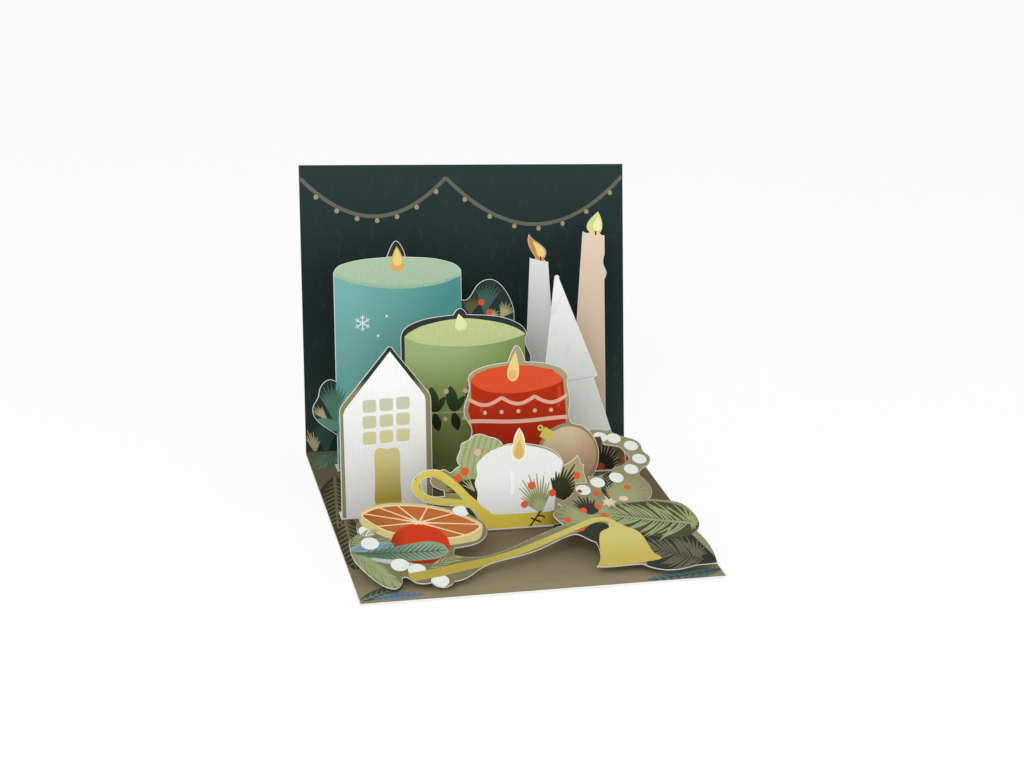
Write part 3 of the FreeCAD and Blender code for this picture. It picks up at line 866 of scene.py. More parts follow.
@dataclass
class Backdrop:
    """The printed lining: dark wall, brown floor, a string of lights and sprigs at the edges."""

    width: float = 133.4
    depth: float = 113.1
    wall: Ink = Ink("wall", "#1c2a29",
                    (Ramp("#283837", Axis.UP, 66.0, 104.0), Ramp("#28342f", Axis.UP, 40.0, 10.0)),
                    brush="#2c4240", brush_share=0.08, brush_scale=420.0, brush_stretch=(1.0, 1.0, 0.16))
    # The ground's ramp darkens the floor from the front edge towards the middle: painted shade under the
    # front spray.
    ground: Ink = Ink("ground", "#90866a", (Ramp("#6c6046", Axis.DEEP, -52.0, -12.0),), brush="#857a60",
                      brush_share=0.12,
                      brush_scale=420.0, brush_stretch=(0.1, 1.0, 1.0), grain=Grain.LEVEL)
    string: Ink = Ink("string", "#62645a")
    lights: Ink = Ink("small lights", "#9c9168")
    shade: Ink = low_ink("shade of sprigs", "#3f3c28")
    rib: Ink = low_ink("ribs of sprigs", "#74704f")
    green: Ink = low_ink("green at the fold", "#4f6a58")
    blue: Ink = low_ink("blue leaf", "#70868f", Ramp("#5a6b6a", Axis.ACROSS, 30.0, 60.0))

    def dress(self) -> None:
        """Give the lining its printed side, and lay the marks on wall and floor."""
        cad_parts["lining_card"].material_slots[0].material = self.lining()
        self.wall_marks().build()
        self.floor_marks().build()

    def lining(self) -> bpy.types.Material:
        """Return the lining's material.

        A point is on the printed side where it lies over both the floor's and the wall's
        face. Elsewhere it is a cut edge, or the glued back, and shows bare paper.

        Returns:
            The material.
        """
        shader = Shader("printed lining")
        angle = math.radians(LAYER_RISE)
        over_wall = (FOLD_Y - shader.y) * math.sin(angle) + (shader.z - FLOOR_TOP) * math.cos(angle)
        over_floor = shader.z - FLOOR_TOP
        printed = (over_wall > PRINT_EDGE) * (over_floor > PRINT_EDGE)
        wall_colour, roughness, wall_height = self.wall.surface(shader)
        ground_colour, _, ground_height = self.ground.surface(shader)
        standing = over_floor > WALL_STARTS
        colour = shader.blend(standing, ground_colour, wall_colour)
        bare, _, _ = Paper("lining").surface(shader)
        height = standing * wall_height + (1.0 - standing) * ground_height
        return shader.finish(shader.blend(printed, bare, colour), roughness, height, Ink.depth)

    def wall_marks(self) -> Print:
        """Lay a hanging string of small lights and two low sprigs on the wall.

        The string is two scallops: each falls by a parabola between its ends.

        Returns:
            The wall's print.
        """
        half = self.width / 2 - 0.3
        made = Print("wall_print", "lining_card", WALL, [rectangle(-half, 0.9, half, self.depth - 0.3)])
        t = np.linspace(0.0, 1.0, 30)
        swags = [np.column_stack([left + (right - left) * t, 108.0 - 4 * fall * t * (1 - t)])
                 for left, right, fall in ((-66.3, -8.0, 15.0), (-8.0, 66.3, 19.0))]
        made.lay(self.string, *[band(path, 1.5) for path in swags])
        made.lay(self.lights, *dots([tuple(path[k] - (0.0, 1.7)) for path in swags for k in range(3, 28,
                4)], 0.95))
        made.lay(Ink("low sprig", "#36514a"),
                 *fan((-58.5, -0.5), (66.0, 118.0), (9.0, 13.0, 14.0, 11.0), 22, 0.75))
        return made.lay(NEEDLE_BEIGE, *fan((-63.1, 0.2), (66.0, 122.0), (5.0, 7.0, 10.0, 9.0), 9, 0.6))

    def floor_marks(self) -> Print:
        """Lay a green sprig at the fold, a dark one down the left side, and corner leaves.

        Returns:
            The floor's print.
        """
        half = self.width / 2 - 0.3
        made = Print("floor_print", "lining_card", FLOOR,
                     [rectangle(-half, -FOLD_Y + 0.3, half, FOLD_Y - 0.6)])
        made.lay(self.green, *needles((-54.0, 57.0), (-62.5, 47.0), 26, 9.0, 1.1, 46.0, 5))
        made.lay(low_ink("green lines", "#688a75"),
                 *needles((-54.0, 57.0), (-62.5, 47.0), 18, 8.0, 0.5, 40.0, 6))
        made.lay(self.shade, leaf((-59.0, 36.0), (-65.0, -4.0), 14.0),
                 leaf((-61.0, 6.0), (-64.0, -34.0), 12.0))
        made.lay(self.rib, *veins((-59.0, 36.0), (-65.0, -4.0), 15.0, 11, 0.9),
                 *veins((-61.0, 6.0), (-64.0, -34.0), 13.0, 11, 0.9))
        made.lay(low_ink("corner leaf", "#4b5542"), leaf((-66.6, -54.6), (-50.5, -47.4), 6.0))
        made.lay(low_ink("corner lines", "#7f9180"), *veins((-66.6, -54.6), (-50.5, -47.4), 6.5, 7, 0.4))
        made.lay(self.blue, leaf((-62.0, -54.6), (-43.8, -53.6), 4.6, 0.8),
                 leaf((67.5, -51.5), (37.0, -55.4), 7.0, 0.6))
        made.lay(low_ink("blue lines", "#566b74"),
                 *veins((-62.0, -54.6), (-43.8, -53.6), 4.6, 8, 0.35, 0.8))
        return made.lay(low_ink("corner shade", "#4a554e"),
                        *veins((67.5, -51.5), (37.0, -55.4), 7.0, 9, 0.7, 0.6))


@dataclass
class TealCandle:
    """Tall teal candle with a speckled lid and sprigs on both sides."""

    distance: float = 17.7
    left: float = -57.1
    right: float = -6.6
    side: Ink = Ink("teal side", "#76ada8",
                    (Ramp("#4b9089", Axis.ACROSS, -50.0, -10.0), Ramp("#5f9c95", Axis.UP, 66.0, 24.0)))
    lid: Ink = Ink("teal lid", "#a5bfa1", fleck="#b4cda3", fleck_share=0.12, fleck_size=0.6)
    edge: Ink = Ink("teal lid edge", "#8fb4a0", fleck="#aec79d", fleck_share=0.2, fleck_size=0.5)
    snow: Ink = Ink("snow", "#d3e3df")

    def dress(self) -> None:
        """Print margin, body, lid, flame, one snowflake and both sprigs."""
        made = print_on("teal_candle", layer_sheet(self.distance)).whole(DARK)
        made.lay(self.side, rectangle(self.left, 0.0, self.right, 79.0))
        low = smooth([(self.left - 1.0, 76.4), (-47.9, 72.8), (-32.1, 70.8), (-16.8, 72.0),
                      (self.right + 1.0, 75.6)], closed=False)
        top = np.array([(self.right + 1.0, 83.3), (-28.3, 83.3), (-35.4, 83.3), (self.left - 1.0, 83.3)])
        made.lay(self.edge, np.vstack([low, top])).lay(self.lid, np.vstack([low + (0.0, 1.3), top]))
        made.lay(FLAME_CORE, flame((-32.2, 87.2), (-31.9, 77.4), 6.0)).lay(FLAME,
                flame((-32.2, 86.6), (-31.9, 79.6), 3.8))
        self.snowflake(made, np.array([-46.2, 57.8]), 3.3)
        self.sprigs(made).build()

    def snowflake(self, made: Print, centre: np.ndarray, reach: float) -> None:
        """Print a plain snowflake: six strokes from a centre, each with two short side strokes.

        Args:
            made: the sheet's print so far.
            centre: across and up.
            reach: length of a stroke.
        """
        turns = np.radians(np.arange(6) * 60.0 + 30.0)
        ways = np.column_stack([np.cos(turns), np.sin(turns)])
        strokes = [band(np.array([centre, centre + w * reach]), np.array([0.6, 0.35])) for w in ways]
        for side in (-0.9, 0.9):
            slant = np.column_stack([np.cos(turns + side), np.sin(turns + side)])
            strokes += [band(np.array([centre + 0.55 * reach * w,
                                       centre + 0.55 * reach * w + 0.34 * reach * s]), 0.36)
                        for w, s in zip(ways, slant)]
        made.lay(self.snow, *strokes,
                 *dots([tuple(centre + (6.0, -5.0)), tuple(centre + (9.5, 2.5))], 0.55))

    def sprigs(self, made: Print) -> Print:
        """Print the needles of both sprigs, and the berries of the right one.

        Args:
            made: the sheet's print so far.

        Returns:
            The print.
        """
        made.lay(Ink("olive needles", "#5f5c3e"),
                 *fan((-3.2, 60.0), (48.0, 124.0), (8.5, 7.0, 5.5), 12, 0.6))
        made.lay(NEEDLE_GREEN, *fan((2.6, 59.5), (56.0, 108.0), (12.0, 12.5, 11.0), 15, 0.6),
                 *fan((-57.6, 19.0), (72.0, 118.0), (13.5, 16.5, 14.0), 17, 0.75))
        made.lay(NEEDLE_BEIGE, *fan((9.2, 58.2), (24.0, 92.0), (7.0, 7.0, 6.4), 10, 0.5),
                 *fan((3.6, 58.6), (10.0, 60.0), (6.0, 4.0), 7, 0.45))
        made.lay(NEEDLE_BEIGE, *fan((-60.6, 20.6), (112.0, 150.0), (6.0, 8.0, 7.6), 8, 0.45))
        made.lay(Ink("low leaf", "#5d8a79"), leaf((-66.2, 20.8), (-55.0, 16.8), 4.4, 0.4))
        return made.lay(BERRY, *dots([(1.4, 64.7), (4.5, 60.6)], 1.3))


@dataclass
class GreenCandle:
    """Green candle with a dark margin, a speckled lid and a row of leaves round it."""

    distance: float = 35.4
    side: Ink = Ink("green side", "#9cb078",
                    (Ramp("#7d9150", Axis.ACROSS, -12.0, 12.0), Ramp("#869a59", Axis.UP, 50.0, 38.0),
                     Ramp("#6b7040", Axis.UP, 34.0, 12.0)))
    lid: Ink = Ink("green lid", "#bbc88c", fleck="#c7d399", fleck_share=0.14, fleck_size=0.6)
    leaves: Ink = Ink("leaf row", "#37492f", (Ramp("#222a1a", Axis.UP, 36.0, 26.0),))

    def dress(self) -> None:
        """Print margin, body, lid, flame and the row of leaves."""
        made = print_on("green_candle", layer_sheet(self.distance)).whole(DARK)
        made.lay(self.side, rectangle(-33.5, 0.0, 14.1, 59.0))
        low = [(-33.5, 58.9), (-25.7, 55.9), (-8.5, 54.6), (4.5, 55.9), (14.1, 58.4)]
        high = [(14.1, 59.0), (10.0, 61.4), (3.0, 63.6), (-8.0, 65.3), (-17.0, 64.9), (-26.0, 63.1),
                (-31.5, 60.7), (-33.5, 59.0)]
        made.lay(self.lid, np.vstack([smooth(low, closed=False), smooth(high, closed=False)]))
        made.lay(Ink("pale flame", "#dfe3ac"), flame((-12.2, 67.2), (-10.9, 60.8), 5.0))
        self.leaf_row(made).build()

    def leaf_row(self, made: Print) -> Print:
        """Print standing leaves along a level line, with small round berries between them.

        Args:
            made: the sheet's print so far.

        Returns:
            The print.
        """
        across = np.arange(-30.0, 12.0, 7.6)
        made.lay(self.leaves, *[leaf((x, 29.5), (x - 1.2, 39.5), 4.6) for x in across],
                 *[leaf((x, 29.5), (x + 4.4, 35.6), 2.8) for x in across],
                 *[leaf((x, 29.5), (x + 1.6, 22.5), 3.6) for x in across])
        made.lay(Ink("thin line", "#aab097"),
                 band(np.array([(-33.5, 29.7), (-10.0, 29.4), (14.1, 29.7)]), 0.45))
        return made.lay(PINK_DOT, *dots([(x + 4.8, 37.6) for x in across], 1.0),
                        *dots([(x + 4.2, 27.0) for x in across], 0.9))


@dataclass
class RedCandle:
    """Red candle with wax runs, scalloped ribbon and a round bauble."""

    distance: float = 52.0
    side: Ink = Ink("red side", "#ad2d0d", (Ramp("#8f1e08", Axis.UP, 40.0, 20.0),))
    lid: Ink = Ink("red lid", "#d9502b", fleck="#cf4826", fleck_share=0.06)
    ribbon: Ink = Ink("ribbon", "#dba792")
    bauble: Ink = Ink("bauble", "#cbb998",
                      (Ramp("#a67c60", Axis.UP, 25.0, 9.0), Ramp("#b08a70", Axis.ACROSS, 28.0, 40.0)))

    def dress(self) -> None:
        """Print margin, body, lid, wax runs, flame, ribbon and bauble."""
        made = print_on("red_candle", layer_sheet(self.distance)).whole(OLIVE)
        body = [(-11.6, 0.0), (-11.6, 27.0), (-11.8, 32.6), (-13.2, 37.0), (-11.9, 42.5), (-11.9, 47.5),
                (-10.2, 50.6), (-5.0, 52.6),
                (3.4, 53.6), (12.0, 53.1), (20.0, 51.4), (24.3, 47.8), (24.9, 42.0), (25.4, 35.0),
                (25.2, 28.0), (25.2, 0.0)]
        made.lay(self.side, np.array(body))
        lid = [(-11.8, 47.6), (-9.8, 50.5), (-4.8, 52.4), (3.4, 53.4), (12.0, 52.9), (19.6, 51.2),
               (24.2, 47.4), (18.0, 44.6), (6.0, 43.0), (-5.5, 44.0)]
        made.lay(self.lid, smooth(lid))
        made.lay(Ink("wax run", "#bf4420"),
                 band(smooth([(-8.2, 40.5), (-8.0, 38.0), (-8.1, 36.2)], closed=False), 1.0),
                 band(smooth([(22.6, 45.0), (22.9, 41.0), (22.4, 37.0)], closed=False), 1.2))
        made.lay(FLAME, flame((5.7, 58.8), (4.2, 47.4), 5.0)).lay(Ink("warm flame", "#dfb368"),
                ellipse((4.5, 50.0), (1.5, 1.9)))
        t = np.linspace(0.0, 1.0, 60)
        across = -13.0 + 39.0 * t
        scallop = np.column_stack([across, 41.5 - 2.6 * np.abs(np.sin(3 * np.pi * t))])
        made.lay(self.ribbon, band(scallop, 1.35),
                 band(np.column_stack([across, 32.6 + 0.4 * np.cos(2 * np.pi * t)]), 1.5))
        made.lay(self.ribbon, *dots([(x, 36.0) for x in (-6.6, -0.1, 6.5, 13.0, 19.5)], 0.8))
        made.lay(OLIVE, ellipse((26.4, 17.8), (12.9, 12.9), count=60)).lay(self.bauble,
                ellipse((26.2, 18.2), (11.2, 11.1), count=60))
        made.lay(GOLD, np.array([[14.6, 26.0], [18.2, 24.0], [20.6, 27.4], [17.0, 29.6]]),
                 ellipse((15.2, 29.2), (1.2, 1.2), count=20))
        made.lay(STALK, ellipse((15.1, 29.4), (0.45, 0.45), count=12)).build()


@dataclass
class Tapers:
    """Two tall thin candles, white and pink, with their flames."""

    distance: float = 12.0
    rim: float = 0.12
    # The white taper greys towards its foot: partly printed grey shading, partly painted shade on its
    # shadowed lower part.
    white: Ink = Ink("white taper", "#dfe1df", (Ramp("#bebfba", Axis.UP, 78.0, 42.0),))
    pink: Ink = Ink("pink taper", "#dfcab2", (Ramp("#c6b096", Axis.UP, 84.0, 36.0),))

    def dress(self) -> None:
        """Print both candles, each flame up to its cut edge."""
        sheet = layer_sheet(self.distance)
        made = print_on("white_taper", sheet, self.rim).whole(self.white)
        made.lay(Ink("orange flame", "#c9863c"),
                 np.array([(18.0, 80.6), (34.0, 77.2), (34.0, 100.0), (18.0, 100.0)]))
        made.lay(FLAME, flame((24.4, 86.2), (28.3, 79.8), 3.6, 0.8)).lay(STALK,
                rectangle(27.4, 78.4, 27.9, 80.2)).build()
        made = print_on("pink_taper", sheet, self.rim).whole(self.pink)
        made.lay(Ink("yellow flame", "#d6d17c"),
                 np.array([(42.0, 89.7), (60.0, 88.4), (60.0, 110.0), (42.0, 110.0)]))
        made.lay(Ink("light flame", "#ece8b2"), flame((52.1, 95.8), (51.2, 90.0), 3.8, 0.2)).lay(STALK,
                rectangle(50.7, 88.3, 51.3, 89.9)).build()


@dataclass
class Tree:
    """White tree of two tiers, with a dark fan and berries at its foot."""

    distance: float = 30.0
    body: Ink = Ink("tree", "#ebecea", (Ramp("#cbcdc8", Axis.UP, 72.0, 36.0),), brush="#bfc2bd",
                    brush_share=0.1, brush_scale=260.0,
                    brush_stretch=(1.0, 1.0, 0.3))
    crease: Ink = Ink("tier line", "#b3b6b1")
    ground: Ink = Ink("shade at the foot", "#57502f")

    def dress(self) -> None:
        """Print the body, the line between the tiers, and the greenery at the foot."""
        made = print_on("tree", layer_sheet(self.distance)).whole(self.body)
        made.lay(self.crease, band(smooth([(23.0, 38.2), (34.0, 37.6), (43.8, 38.8)], closed=False), 0.4))
        made.lay(self.ground, smooth([(18.0, -2.0), (18.0, 6.0), (28.0, 8.0), (38.0, 11.0), (46.0, 15.5),
                                      (51.0, 16.8), (56.0, 13.0), (59.0, 5.0), (59.0, -2.0)]))
        made.lay(Ink("foot lines", "#8f8a72"), *fan((46.2, 1.5), (-8.0, 96.0), (9.0, 9.5, 11.0), 12, 0.55))
        made.lay(Ink("foot fan", "#2a2416"),
                 *fan((46.2, 1.5), (-14.0, 100.0), (8.0, 9.0, 11.5, 10.5), 13, 1.1))
        made.lay(DEEP_BERRY, *dots([(56.7, 5.1), (46.6, 2.6)], 1.5)).build()


@dataclass
class House:
    """White gabled house with nine small panes and a door, in a narrow margin."""

    distance: float = 55.9
    # The face darkens towards its foot: partly printed shading, partly painted shade.
    face: Ink = Ink("house face", "#f1f2f0", (Ramp("#cdceca", Axis.UP, 48.0, 2.0),))
    margin: Ink = Ink("house margin", "#84805c", (Ramp("#2e372b", Axis.UP, 46.0, 50.0),))
    pane: Ink = Ink("panes", "#c6c592", (Ramp("#c3c7b1", Axis.UP, 30.0, 42.0),))
    door: Ink = Ink("door", "#a4913f", (Ramp("#c6be80", Axis.UP, 8.0, 22.0),))

    def dress(self) -> None:
        """Print margin, face, panes and door."""
        made = print_on("house", layer_sheet(self.distance)).whole(self.margin)
        made.lay(self.face, np.array([(-60.9, 0.0), (-61.3, 39.2), (-60.5, 41.4), (-43.4, 62.0),
                                      (-30.7, 45.4), (-30.3, 43.6), (-30.4, 0.0)]))
        corner = np.array([(0.1, 0.8), (0.8, 0.0), (4.2, 0.1), (5.0, 0.9), (5.0, 3.9), (4.3, 4.6),
                           (0.9, 4.5), (0.1, 3.8)])
        made.lay(self.pane, *[smooth(corner + (-54.0 + 6.3 * column - 0.1 * row,
                                               39.8 - 5.9 * row + 0.35 * column), 3)
                              for row in range(3) for column in range(3)])
        door = [(-49.9, 5.4), (-45.0, 5.3), (-40.4, 5.4), (-40.5, 15.0), (-40.7, 25.4), (-45.0, 26.0),
                (-49.7, 25.6), (-49.8, 15.0)]
        made.lay(self.door, smooth(door, 4)).build()


@dataclass
class HandledHolder:
    """White candle in a gold dish with a looped handle, a leaf on its left, sprigs on its right."""

    distance: float = 70.8
    margin: Ink = Ink("holder margin", "#8b8660", (Ramp("#a49c73", Axis.ACROSS, 6.0, 16.0),))
    leaf_green: Ink = Ink("round leaf", "#a4ae7e", (Ramp("#8f9a68", Axis.UP, 26.0, 16.0),))
    gold: Ink = Ink("holder gold", "#d3c35a",
                    (Ramp("#cdb744", Axis.ACROSS, -18.0, -10.0), Ramp("#876b1f", Axis.ACROSS, 7.0, 17.0)))
    wax: Ink = Ink("white wax", "#e6e7e4", (Ramp("#d6d8d3", Axis.UP, 18.0, 7.0),))

    def dress(self) -> None:
        """Print margin, leaf, handle, dish, wax, flame and sprigs."""
        made = print_on("handled_holder", layer_sheet(self.distance)).whole(self.margin)
        made.lay(self.leaf_green, np.array([(-15.0, 14.0), (-17.0, 19.0), (-23.5, 22.6), (-27.0, 40.0),
                                            (0.0, 42.0), (-2.0, 30.0), (-8.0, 24.0)]))
        hatch = [band(np.array([(x, 18.0), (x + 1.5, 28.0), (x + 5.0, 38.0)]),
                      0.7) for x in np.arange(-24.0, -6.0, 2.3)]
        made.lay(Ink("leaf hatching", "#909b6a"), *hatch)
        made.lay(NEEDLE_DARK, smooth([(-21.0, 19.4), (-15.0, 19.6), (-14.4, 12.8), (-18.0, 12.8),
                                      (-22.0, 17.0)]), *fan((-18.0, 15.0), (118.0, 176.0), (8.5, 9.0, 9.0),
                                              9, 0.7))
        made.lay(NEEDLE_BEIGE, *fan((-15.6, 15.4), (112.0, 150.0), (7.0, 6.6), 4, 0.45))
        upper = [(-36.8, 20.4), (-34.6, 22.6), (-31.6, 23.2), (-28.4, 22.0), (-23.3, 18.1), (-18.3, 12.9),
                 (-13.2, 8.6), (-10.6, 6.2)]
        lower = [(-37.2, 20.8), (-38.0, 18.6), (-36.8, 16.0), (-33.4, 13.9), (-28.9, 12.5), (-18.0, 11.0),
                 (-15.0, 9.6)]
        made.lay(self.gold, band(smooth(upper, closed=False), 3.0), band(smooth(lower, closed=False), 2.7),
                 np.array([(-17.8, 11.0), (-16.2, 5.0), (-11.5, -0.5), (16.0, -0.5), (21.0, 3.0),
                           (18.6, 9.5), (-10.0, 9.5)]))
        wax = [(-14.7, 25.6), (-10.3, 29.6), (-4.7, 31.6), (1.5, 32.0), (6.0, 31.2), (12.0, 29.5),
               (16.8, 26.4), (18.2, 23.5), (17.4, 20.0), (16.6, 10.0),
               (14.5, 6.6), (7.6, 6.3), (0.5, 6.2), (-8.1, 6.5), (-10.6, 7.9), (-14.6, 11.4), (-14.7, 14.9),
               (-15.7, 18.5), (-14.7, 21.6)]
        made.lay(self.wax, smooth(wax, 5)).lay(Ink("wax light", "#eff0ee"),
                                               band(smooth([(-1.6, 22.0), (-1.2, 18.0), (-1.5, 13.5)],
                                                       closed=False), 1.3))
        made.lay(Ink("flame edge", "#f0efe9"), flame((1.7, 38.6), (1.1, 25.7), 6.4)).lay(FLAME,
                flame((1.7, 37.8), (1.1, 26.2), 5.2))
        made.lay(Ink("flame heart", "#d8af69"), flame((1.6, 33.6), (1.1, 26.8), 3.8))
        self.sprigs(made).build()

    def sprigs(self, made: Print) -> Print:
        """Print the dark fan, the pale fan before the wax, a twig and the berries.

        Args:
            made: the sheet's print so far.

        Returns:
            The print.
        """
        made.lay(self.margin, np.array([(14.6, 6.0), (15.4, 14.0), (17.4, 21.0), (20.0, 30.0), (32.0, 30.0),
                                        (32.0, 6.0)]))
        made.lay(NEEDLE_DARK, *fan((15.0, 12.0), (-22.0, 102.0), (5.0, 8.5, 10.0, 14.5, 10.5, 7.0), 17,
                                   1.05))
        made.lay(Ink("pale fan lines", "#dcdfce"),
                 *fan((9.4, 6.5), (64.0, 146.0), (9.0, 13.5, 15.0, 13.5, 9.0), 17, 0.7))
        made.lay(Ink("pale fan", "#8f9467"),
                 *fan((9.6, 6.0), (62.0, 148.0), (9.5, 14.0, 15.5, 14.0, 8.5), 16, 0.72))
        made.lay(NEEDLE_PALE, *fan((9.6, 5.4), (70.0, 136.0), (5.6, 7.0, 5.6), 10, 0.7))
        twig = [(5.1, 1.0), (8.2, 5.0), (9.4, 6.8)], [(5.7, 4.2), (7.2, 3.6), (9.5, 2.5)], [(7.8, 4.9),
                (9.4, 5.0), (11.0, 4.3)]
        made.lay(STALK, *[band(np.array(path), 0.6) for path in twig])
        made.lay(BERRY, *dots([(6.1, 16.4), (-19.4, 23.1), (-22.0, 20.7)], 1.5),
                 *dots([(3.2, 9.5), (14.1, 13.2), (23.7, 19.1)], 1.35))
        return made.lay(PINK_DOT, *dots([(-14.5, 29.9)], 1.3))


@dataclass
class FrontSpray:
    """The low sheet in front: orange slice, plum, leaves, snuffer, bell, pine and a bead garland."""

    rim: float = 0.08
    bead: tuple[float, float] = (2.8, 2.65)
    left_bead: tuple[float, float] = (3.2, 2.85)
    hub: tuple[float, float] = (-39.9, 32.7)
    margin: Ink = low_ink("spray margin", "#777355", Ramp("#8f8a68", Axis.ACROSS, -10.0, 35.0))
    pale: Ink = low_ink("spray needles", "#959e72")
    dark: Ink = low_ink("spray dark", "#34362a")
    gold: Ink = low_ink("spray gold", "#ae9b45", Ramp("#c6bb6b", Axis.ACROSS, -20.0, 20.0))

    def dress(self) -> None:
        """Print all of it, from the back to the front."""
        made = print_on("front_spray", SPRAY, self.rim).whole(self.margin)
        self.pine(made)
        self.garland(made)
        self.slice(made)
        self.left_leaves(made)
        self.snuffer(made)
        made.build()

    def slice(self, made: Print) -> None:
        """Print the slice: rind, a pale ring, the flesh, and lines from the hub to the ring.

        Args:
            made: the sheet's print so far.
        """
        rind = [(-60.1, 38.4), (-60.6, 33.5), (-57.2, 29.9), (-51.9, 26.0), (-41.0, 22.0), (-30.8, 21.0),
                (-24.2, 21.6), (-19.8, 23.1), (-17.4, 28.3),
                (-18.2, 31.4), (-26.1, 37.2), (-35.3, 41.1), (-45.3, 43.0), (-53.6, 42.6), (-58.9, 40.6)]
        flesh = smooth([(-59.7, 38.6), (-53.6, 41.5), (-45.3, 42.0), (-35.3, 40.1), (-26.1, 36.0),
                        (-18.3, 30.0), (-19.2, 27.2), (-23.8, 25.0),
                        (-31.0, 23.9), (-41.0, 25.1), (-51.0, 28.8), (-55.4, 32.1), (-58.9, 36.0)])
        made.lay(low_ink("rind", "#c9bb7d"), smooth(rind))
        skin = low_ink("slice lines", "#e6cfa8")
        made.lay(skin, flesh).lay(low_ink("orange flesh", "#a05b27",
                                          Ramp("#b76933", Axis.ACROSS, -58.0, -44.0), fleck="#ad5c26",
                                          fleck_share=0.12), flesh * (0.963, 0.93) + (-39.0 * 0.037,
                                                  33.0 * 0.07))
        ends = [(-59.3, 38.8), (-53.6, 41.7), (-46.2, 41.9), (-35.3, 40.1), (-26.1, 36.2), (-18.3, 29.9),
                (-23.8, 24.8), (-36.0, 24.4), (-48.0, 27.4), (-55.4, 32.1)]
        made.lay(skin, *[band(np.array([self.hub, (np.array(self.hub) + end) / 2, end]),
                              np.array([0.8, 0.5, 0.5])) for end in ends])

    def left_leaves(self, made: Print) -> None:
        """Print the leaves, the plum and the beads of the left end.

        Args:
            made: the sheet's print so far.
        """
        made.lay(self.pale, *needles((-66.4, 24.0), (-58.0, 29.0), 12, 6.0, 0.6, 24.0, 50),
                 *needles((-60.0, 25.5), (-51.0, 25.0), 8, 5.0, 0.4, 14.0, 51))
        made.lay(low_ink("plum", "#c53c19", Ramp("#8d2e10", Axis.ACROSS, -46.0, -52.0),
                         Ramp("#93290d", Axis.DEEP, -35.0, -43.0)),
                 ellipse((-41.4, 22.4), (10.4, 9.4), count=50))
        made.lay(low_ink("blue spray leaf", "#849ca6"),
                 smooth([(-66.6, 22.7), (-61.7, 24.1), (-55.8, 24.3), (-51.6, 23.7), (-52.0, 20.6),
                         (-59.8, 20.2), (-66.0, 21.0)]))
        made.lay(low_ink("blue streaks", "#5f7a8a"),
                 *needles((-66.0, 22.0), (-53.0, 22.6), 12, 4.5, 0.4, 16.0, 52))
        made.lay(low_ink("light leaf", "#747f58"),
                 smooth([(-67.2, 20.8), (-63.5, 19.7), (-58.8, 16.7), (-56.0, 13.2), (-53.1, 8.3),
                         (-51.8, 5.5), (-53.0, 2.6),
                                                           (-56.4, 2.6), (-60.2, 4.6), (-63.4, 8.4),
                                                                   (-66.8, 13.7), (-68.4, 19.0)]))
        made.lay(self.pale, *needles((-66.8, 20.4), (-53.4, 4.0), 34, 7.0, 0.85, 30.0, 53))
        made.lay(low_ink("pale leaf", "#a9bcae"), leaf((-60.5, 17.2), (-45.0, 12.6), 2.6))
        made.lay(self.pale, *needles((-41.0, 10.8), (-28.0, 15.4), 16, 4.6, 0.5, 22.0, 54))
        long_leaf = [(-32.2, 18.4), (-33.2, 21.2), (-36.1, 22.8), (-40.0, 23.3), (-45.4, 22.7),
                     (-50.5, 21.9), (-56.4, 20.8), (-61.7, 20.2), (-65.9, 20.9),
                     (-63.5, 19.3), (-60.4, 17.8), (-55.4, 16.4), (-50.3, 15.5), (-46.3, 14.7),
                     (-40.7, 14.6), (-36.3, 15.1), (-33.1, 16.6)]
        made.lay(low_ink("long leaf", "#859b83", Ramp("#587564", Axis.ACROSS, -42.0, -56.0)),
                 smooth(long_leaf))
        made.lay(low_ink("leaf veins", "#4a6350"),
                 *veins((-64.5, 19.8), (-32.6, 18.6), 10.0, 14, 0.55, -0.4))
        beads = [(-59.2, 24.1), (-50.6, 13.2), (-45.1, 10.3), (-38.0, 4.6), (-23.4, 37.4)]
        made.lay(BEAD, *[ellipse(c, self.left_bead, count=28) for c in beads])

    def garland(self, made: Print) -> None:
        """Print the white beads of the garland, and the one behind the slice's left end.

        Args:
            made: the sheet's print so far.
        """
        beads = [(39.4, 71.6), (44.5, 70.5), (50.2, 66.0), (51.4, 58.6), (46.5, 53.3), (39.4, 49.3),
                 (31.4, 47.3), (24.8, 43.9), (-59.4, 30.1)]
        made.lay(BEAD, *[ellipse(c, self.bead, count=28) for c in beads])
        made.lay(BERRY, *dots([(42.1, 43.9), (29.4, 41.8), (28.1, 34.9), (29.1, 30.3), (22.0, 33.5),
                               (14.8, 29.4), (18.6, 24.6)], 1.35))
        made.lay(DEEP_BERRY, *dots([(23.2, 43.3)], 0.95))

    def snuffer(self, made: Print) -> None:
        """Print the snuffer: a long tapering handle and the bell at its end.

        Args:
            made: the sheet's print so far.
        """
        path = smooth([(-48.4, 7.0), (-38.0, 8.4), (-30.3, 10.0), (-19.2, 12.0), (-6.7, 15.6), (5.0, 20.2),
                       (18.6, 26.0), (24.5, 28.2), (28.5, 28.4),
                       (31.2, 27.0), (31.8, 25.0)], closed=False)
        made.lay(self.gold, band(path,
                                 np.interp(np.linspace(0, 1, len(path)), [0.0, 0.2, 0.35, 0.6, 1.0],
                                           [3.9, 3.9, 3.0, 2.3, 2.0])))
        bell = [(29.5, 26.2), (29.1, 24.0), (25.3, 22.0), (23.4, 16.7), (22.5, 12.0), (21.2, 8.4),
                (20.0, 5.6), (28.0, 5.2), (36.4, 6.2), (44.3, 7.4),
                (42.2, 10.6), (41.4, 14.5), (40.6, 19.0), (38.8, 22.0), (35.7, 24.1), (34.1, 25.4),
                (32.0, 27.0)]
        made.lay(low_ink("bell", "#c8be70", Ramp("#bfae54", Axis.DEEP, -38.0, -48.0)), smooth(bell, 4))

